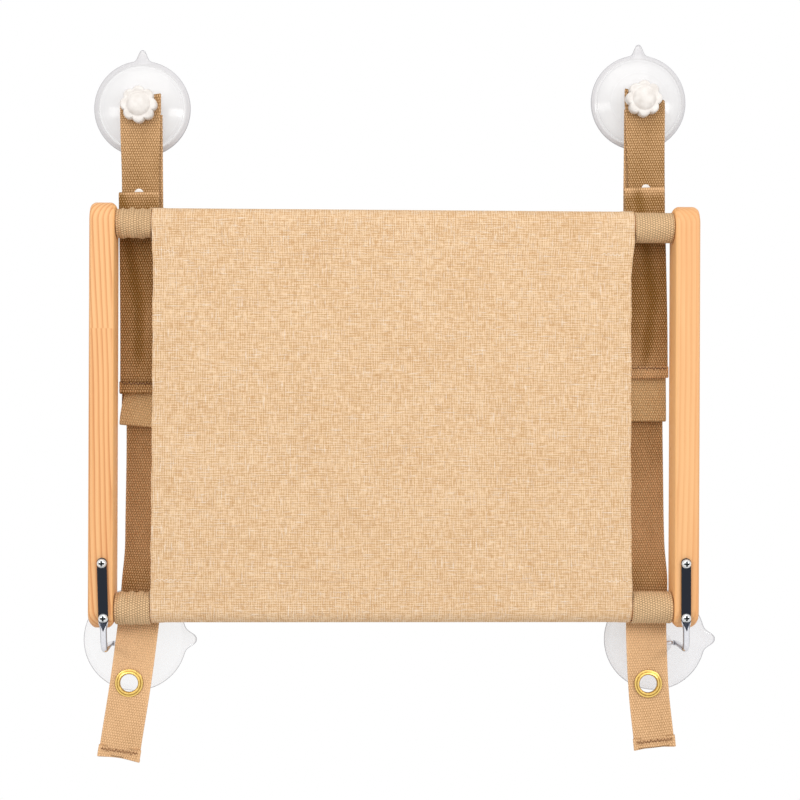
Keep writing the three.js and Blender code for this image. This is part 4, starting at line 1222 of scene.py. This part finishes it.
# Screws: zinc-plated pan-head screws, two in each bracket, and one countersunk screw through each rail into
# each rod end. All have a cross recess.
HEAD_RADIUS = 0.0037
HEAD_RISE = 0.0022
HEAD_Y = -0.0584
PAN_LENGTH = 0.0130
PAN_HEIGHTS = {"upper": 0.0663, "lower": 0.0243}
SUNK_X = 0.2356
SUNK_RADIUS = 0.0040
SUNK_RISE = 0.0002
SUNK_LENGTH = 0.0290
SHANK_RADIUS = 0.0018
RECESS_DEPTH = 0.0012


def screw(name, centre, axis, head, dome, length):
    """A screw about an axis: the head's height is dome (1 - (r / head) ** 2.6), less the cross recess,
    whose depth falls off smoothly beyond 0.45 mm from either of its two centre lines and 1.8 mm from the
    middle."""
    shank = [head, head * 0.96, SHANK_RADIUS, SHANK_RADIUS, SHANK_RADIUS * 0.6, 0.0]
    radius = np.concatenate([np.linspace(0.0, head, 29), shank])[:, None]
    angle = evenly(96)
    u, v = radius * np.cos(angle), radius * np.sin(angle)
    arm = np.minimum(np.abs(u), np.abs(v))
    recess = (1.0 - rise(*RECESS_ARM, arm)) * (1.0 - rise(*RECESS_REACH, radius)) * RECESS_DEPTH
    out = dome * (1.0 - (radius / head) ** 2.6) - recess
    out[29:] = np.array([-0.0001, -0.0003, -0.0004, 0.002 - length, 0.001 - length, -length])[:, None]
    local = {"front": (u, -out, v), "left": (-out, u, v), "right": (out, u, v)}[axis]
    return skin(name, grid(*local) + np.array(centre), grid(radius, angle))


screw_finish = paint("screw_zinc", zinc(True))
for label, side in SIDES:
    for place, height in PAN_HEIGHTS.items():
        middle = (leaning(label, height), HEAD_Y, height)
        pan = screw(f"pan_{place}_{label}", middle, "front", HEAD_RADIUS, HEAD_RISE, PAN_LENGTH)
        coat(pan, screw_finish)
        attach(pan, "bed")
        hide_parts(f"bracket_screw_{place}_{label}")
    for place, height in (("front", RAIL_HIGH), ("rear", RAIL_LOW)):
        middle = (side * SUNK_X, RAIL_Y, height)
        sunk = screw(f"sunk_{place}_{label}", middle, label, SUNK_RADIUS, SUNK_RISE, SUNK_LENGTH)
        coat(sunk, screw_finish)
        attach(sunk, "bed")
        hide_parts(f"rod_screw_{place}_{label}")


# Studio: a pale floor well below the bed, a white surround, one large soft lamp above and in front, and a
# low wide one on each side, which the domed cups reflect as wedges.
FLOOR_SIZE = 1.3
FLOOR_Z = -0.34
FLOOR_TONE = (0.9, 0.9, 0.9, 1.0)
SURROUND = 0.62

bpy.ops.mesh.primitive_plane_add(size=FLOOR_SIZE, location=(0.0, 0.0, FLOOR_Z))
floor = bpy.context.object
floor.name = "floor"
coat(floor, paint("floor_paint", lambda start, place, sizes: start.surface(FLOOR_TONE, 0.9)))


def lamp(name, place, target, wide, high, power):
    """A rectangular soft lamp at a place, turned towards a target."""
    light = bpy.data.lights.new(name, "AREA")
    light.shape = "RECTANGLE"
    light.size = wide
    light.size_y = high
    light.energy = power
    made = placed(name, light)
    made.location = place
    away = np.array(place) - np.array(target)
    flat = math.hypot(away[0], away[1])
    made.rotation_euler = (math.atan2(flat, away[2]), 0.0, math.atan2(away[0], -away[1]))


lamp("key_lamp", (-0.1, -1.4, 1.5), (0.0, 0.0, 0.2), 1.8, 1.8, 17.0)
lamp("right_lamp", (1.05, -1.2, 0.52), (0.1, 0.0, 0.43), 0.9, 0.3, 6.5)
lamp("left_lamp", (-1.05, -1.2, 0.52), (-0.1, 0.0, 0.43), 0.9, 0.3, 5.0)

world = bpy.data.worlds.new("surround")
bpy.context.scene.world = world
air = blank(world)
straight_on = air.node("ShaderNodeLightPath", {}, {}, "Is Camera Ray")
for kind in ("Is Glossy Ray", "Is Transmission Ray"):
    straight_on = straight_on.maths("MAXIMUM", air.node("ShaderNodeLightPath", {}, {}, kind))
white = (1.0, 1.0, 1.0, 1.0)
plain = air.node("ShaderNodeBackground", {}, {"Color": white, "Strength": 1.0})
soft = air.node("ShaderNodeBackground", {}, {"Color": white, "Strength": SURROUND})
mixed = air.node("ShaderNodeMixShader", {}, {0: straight_on, 1: soft, 2: plain})
air.node("ShaderNodeOutputWorld", {}, {"Surface": mixed})

view = bpy.data.cameras.new("camera")
view.sensor_width = 36.0
view.lens = 73.0
camera = placed("camera", view)
camera.location = (-0.0365, -1.3026, 0.1920)
camera.rotation_euler = (math.pi / 2.0, -0.0039, -0.0317)
bpy.context.scene.camera = camera
bpy.context.scene.view_settings.view_transform = "Standard"
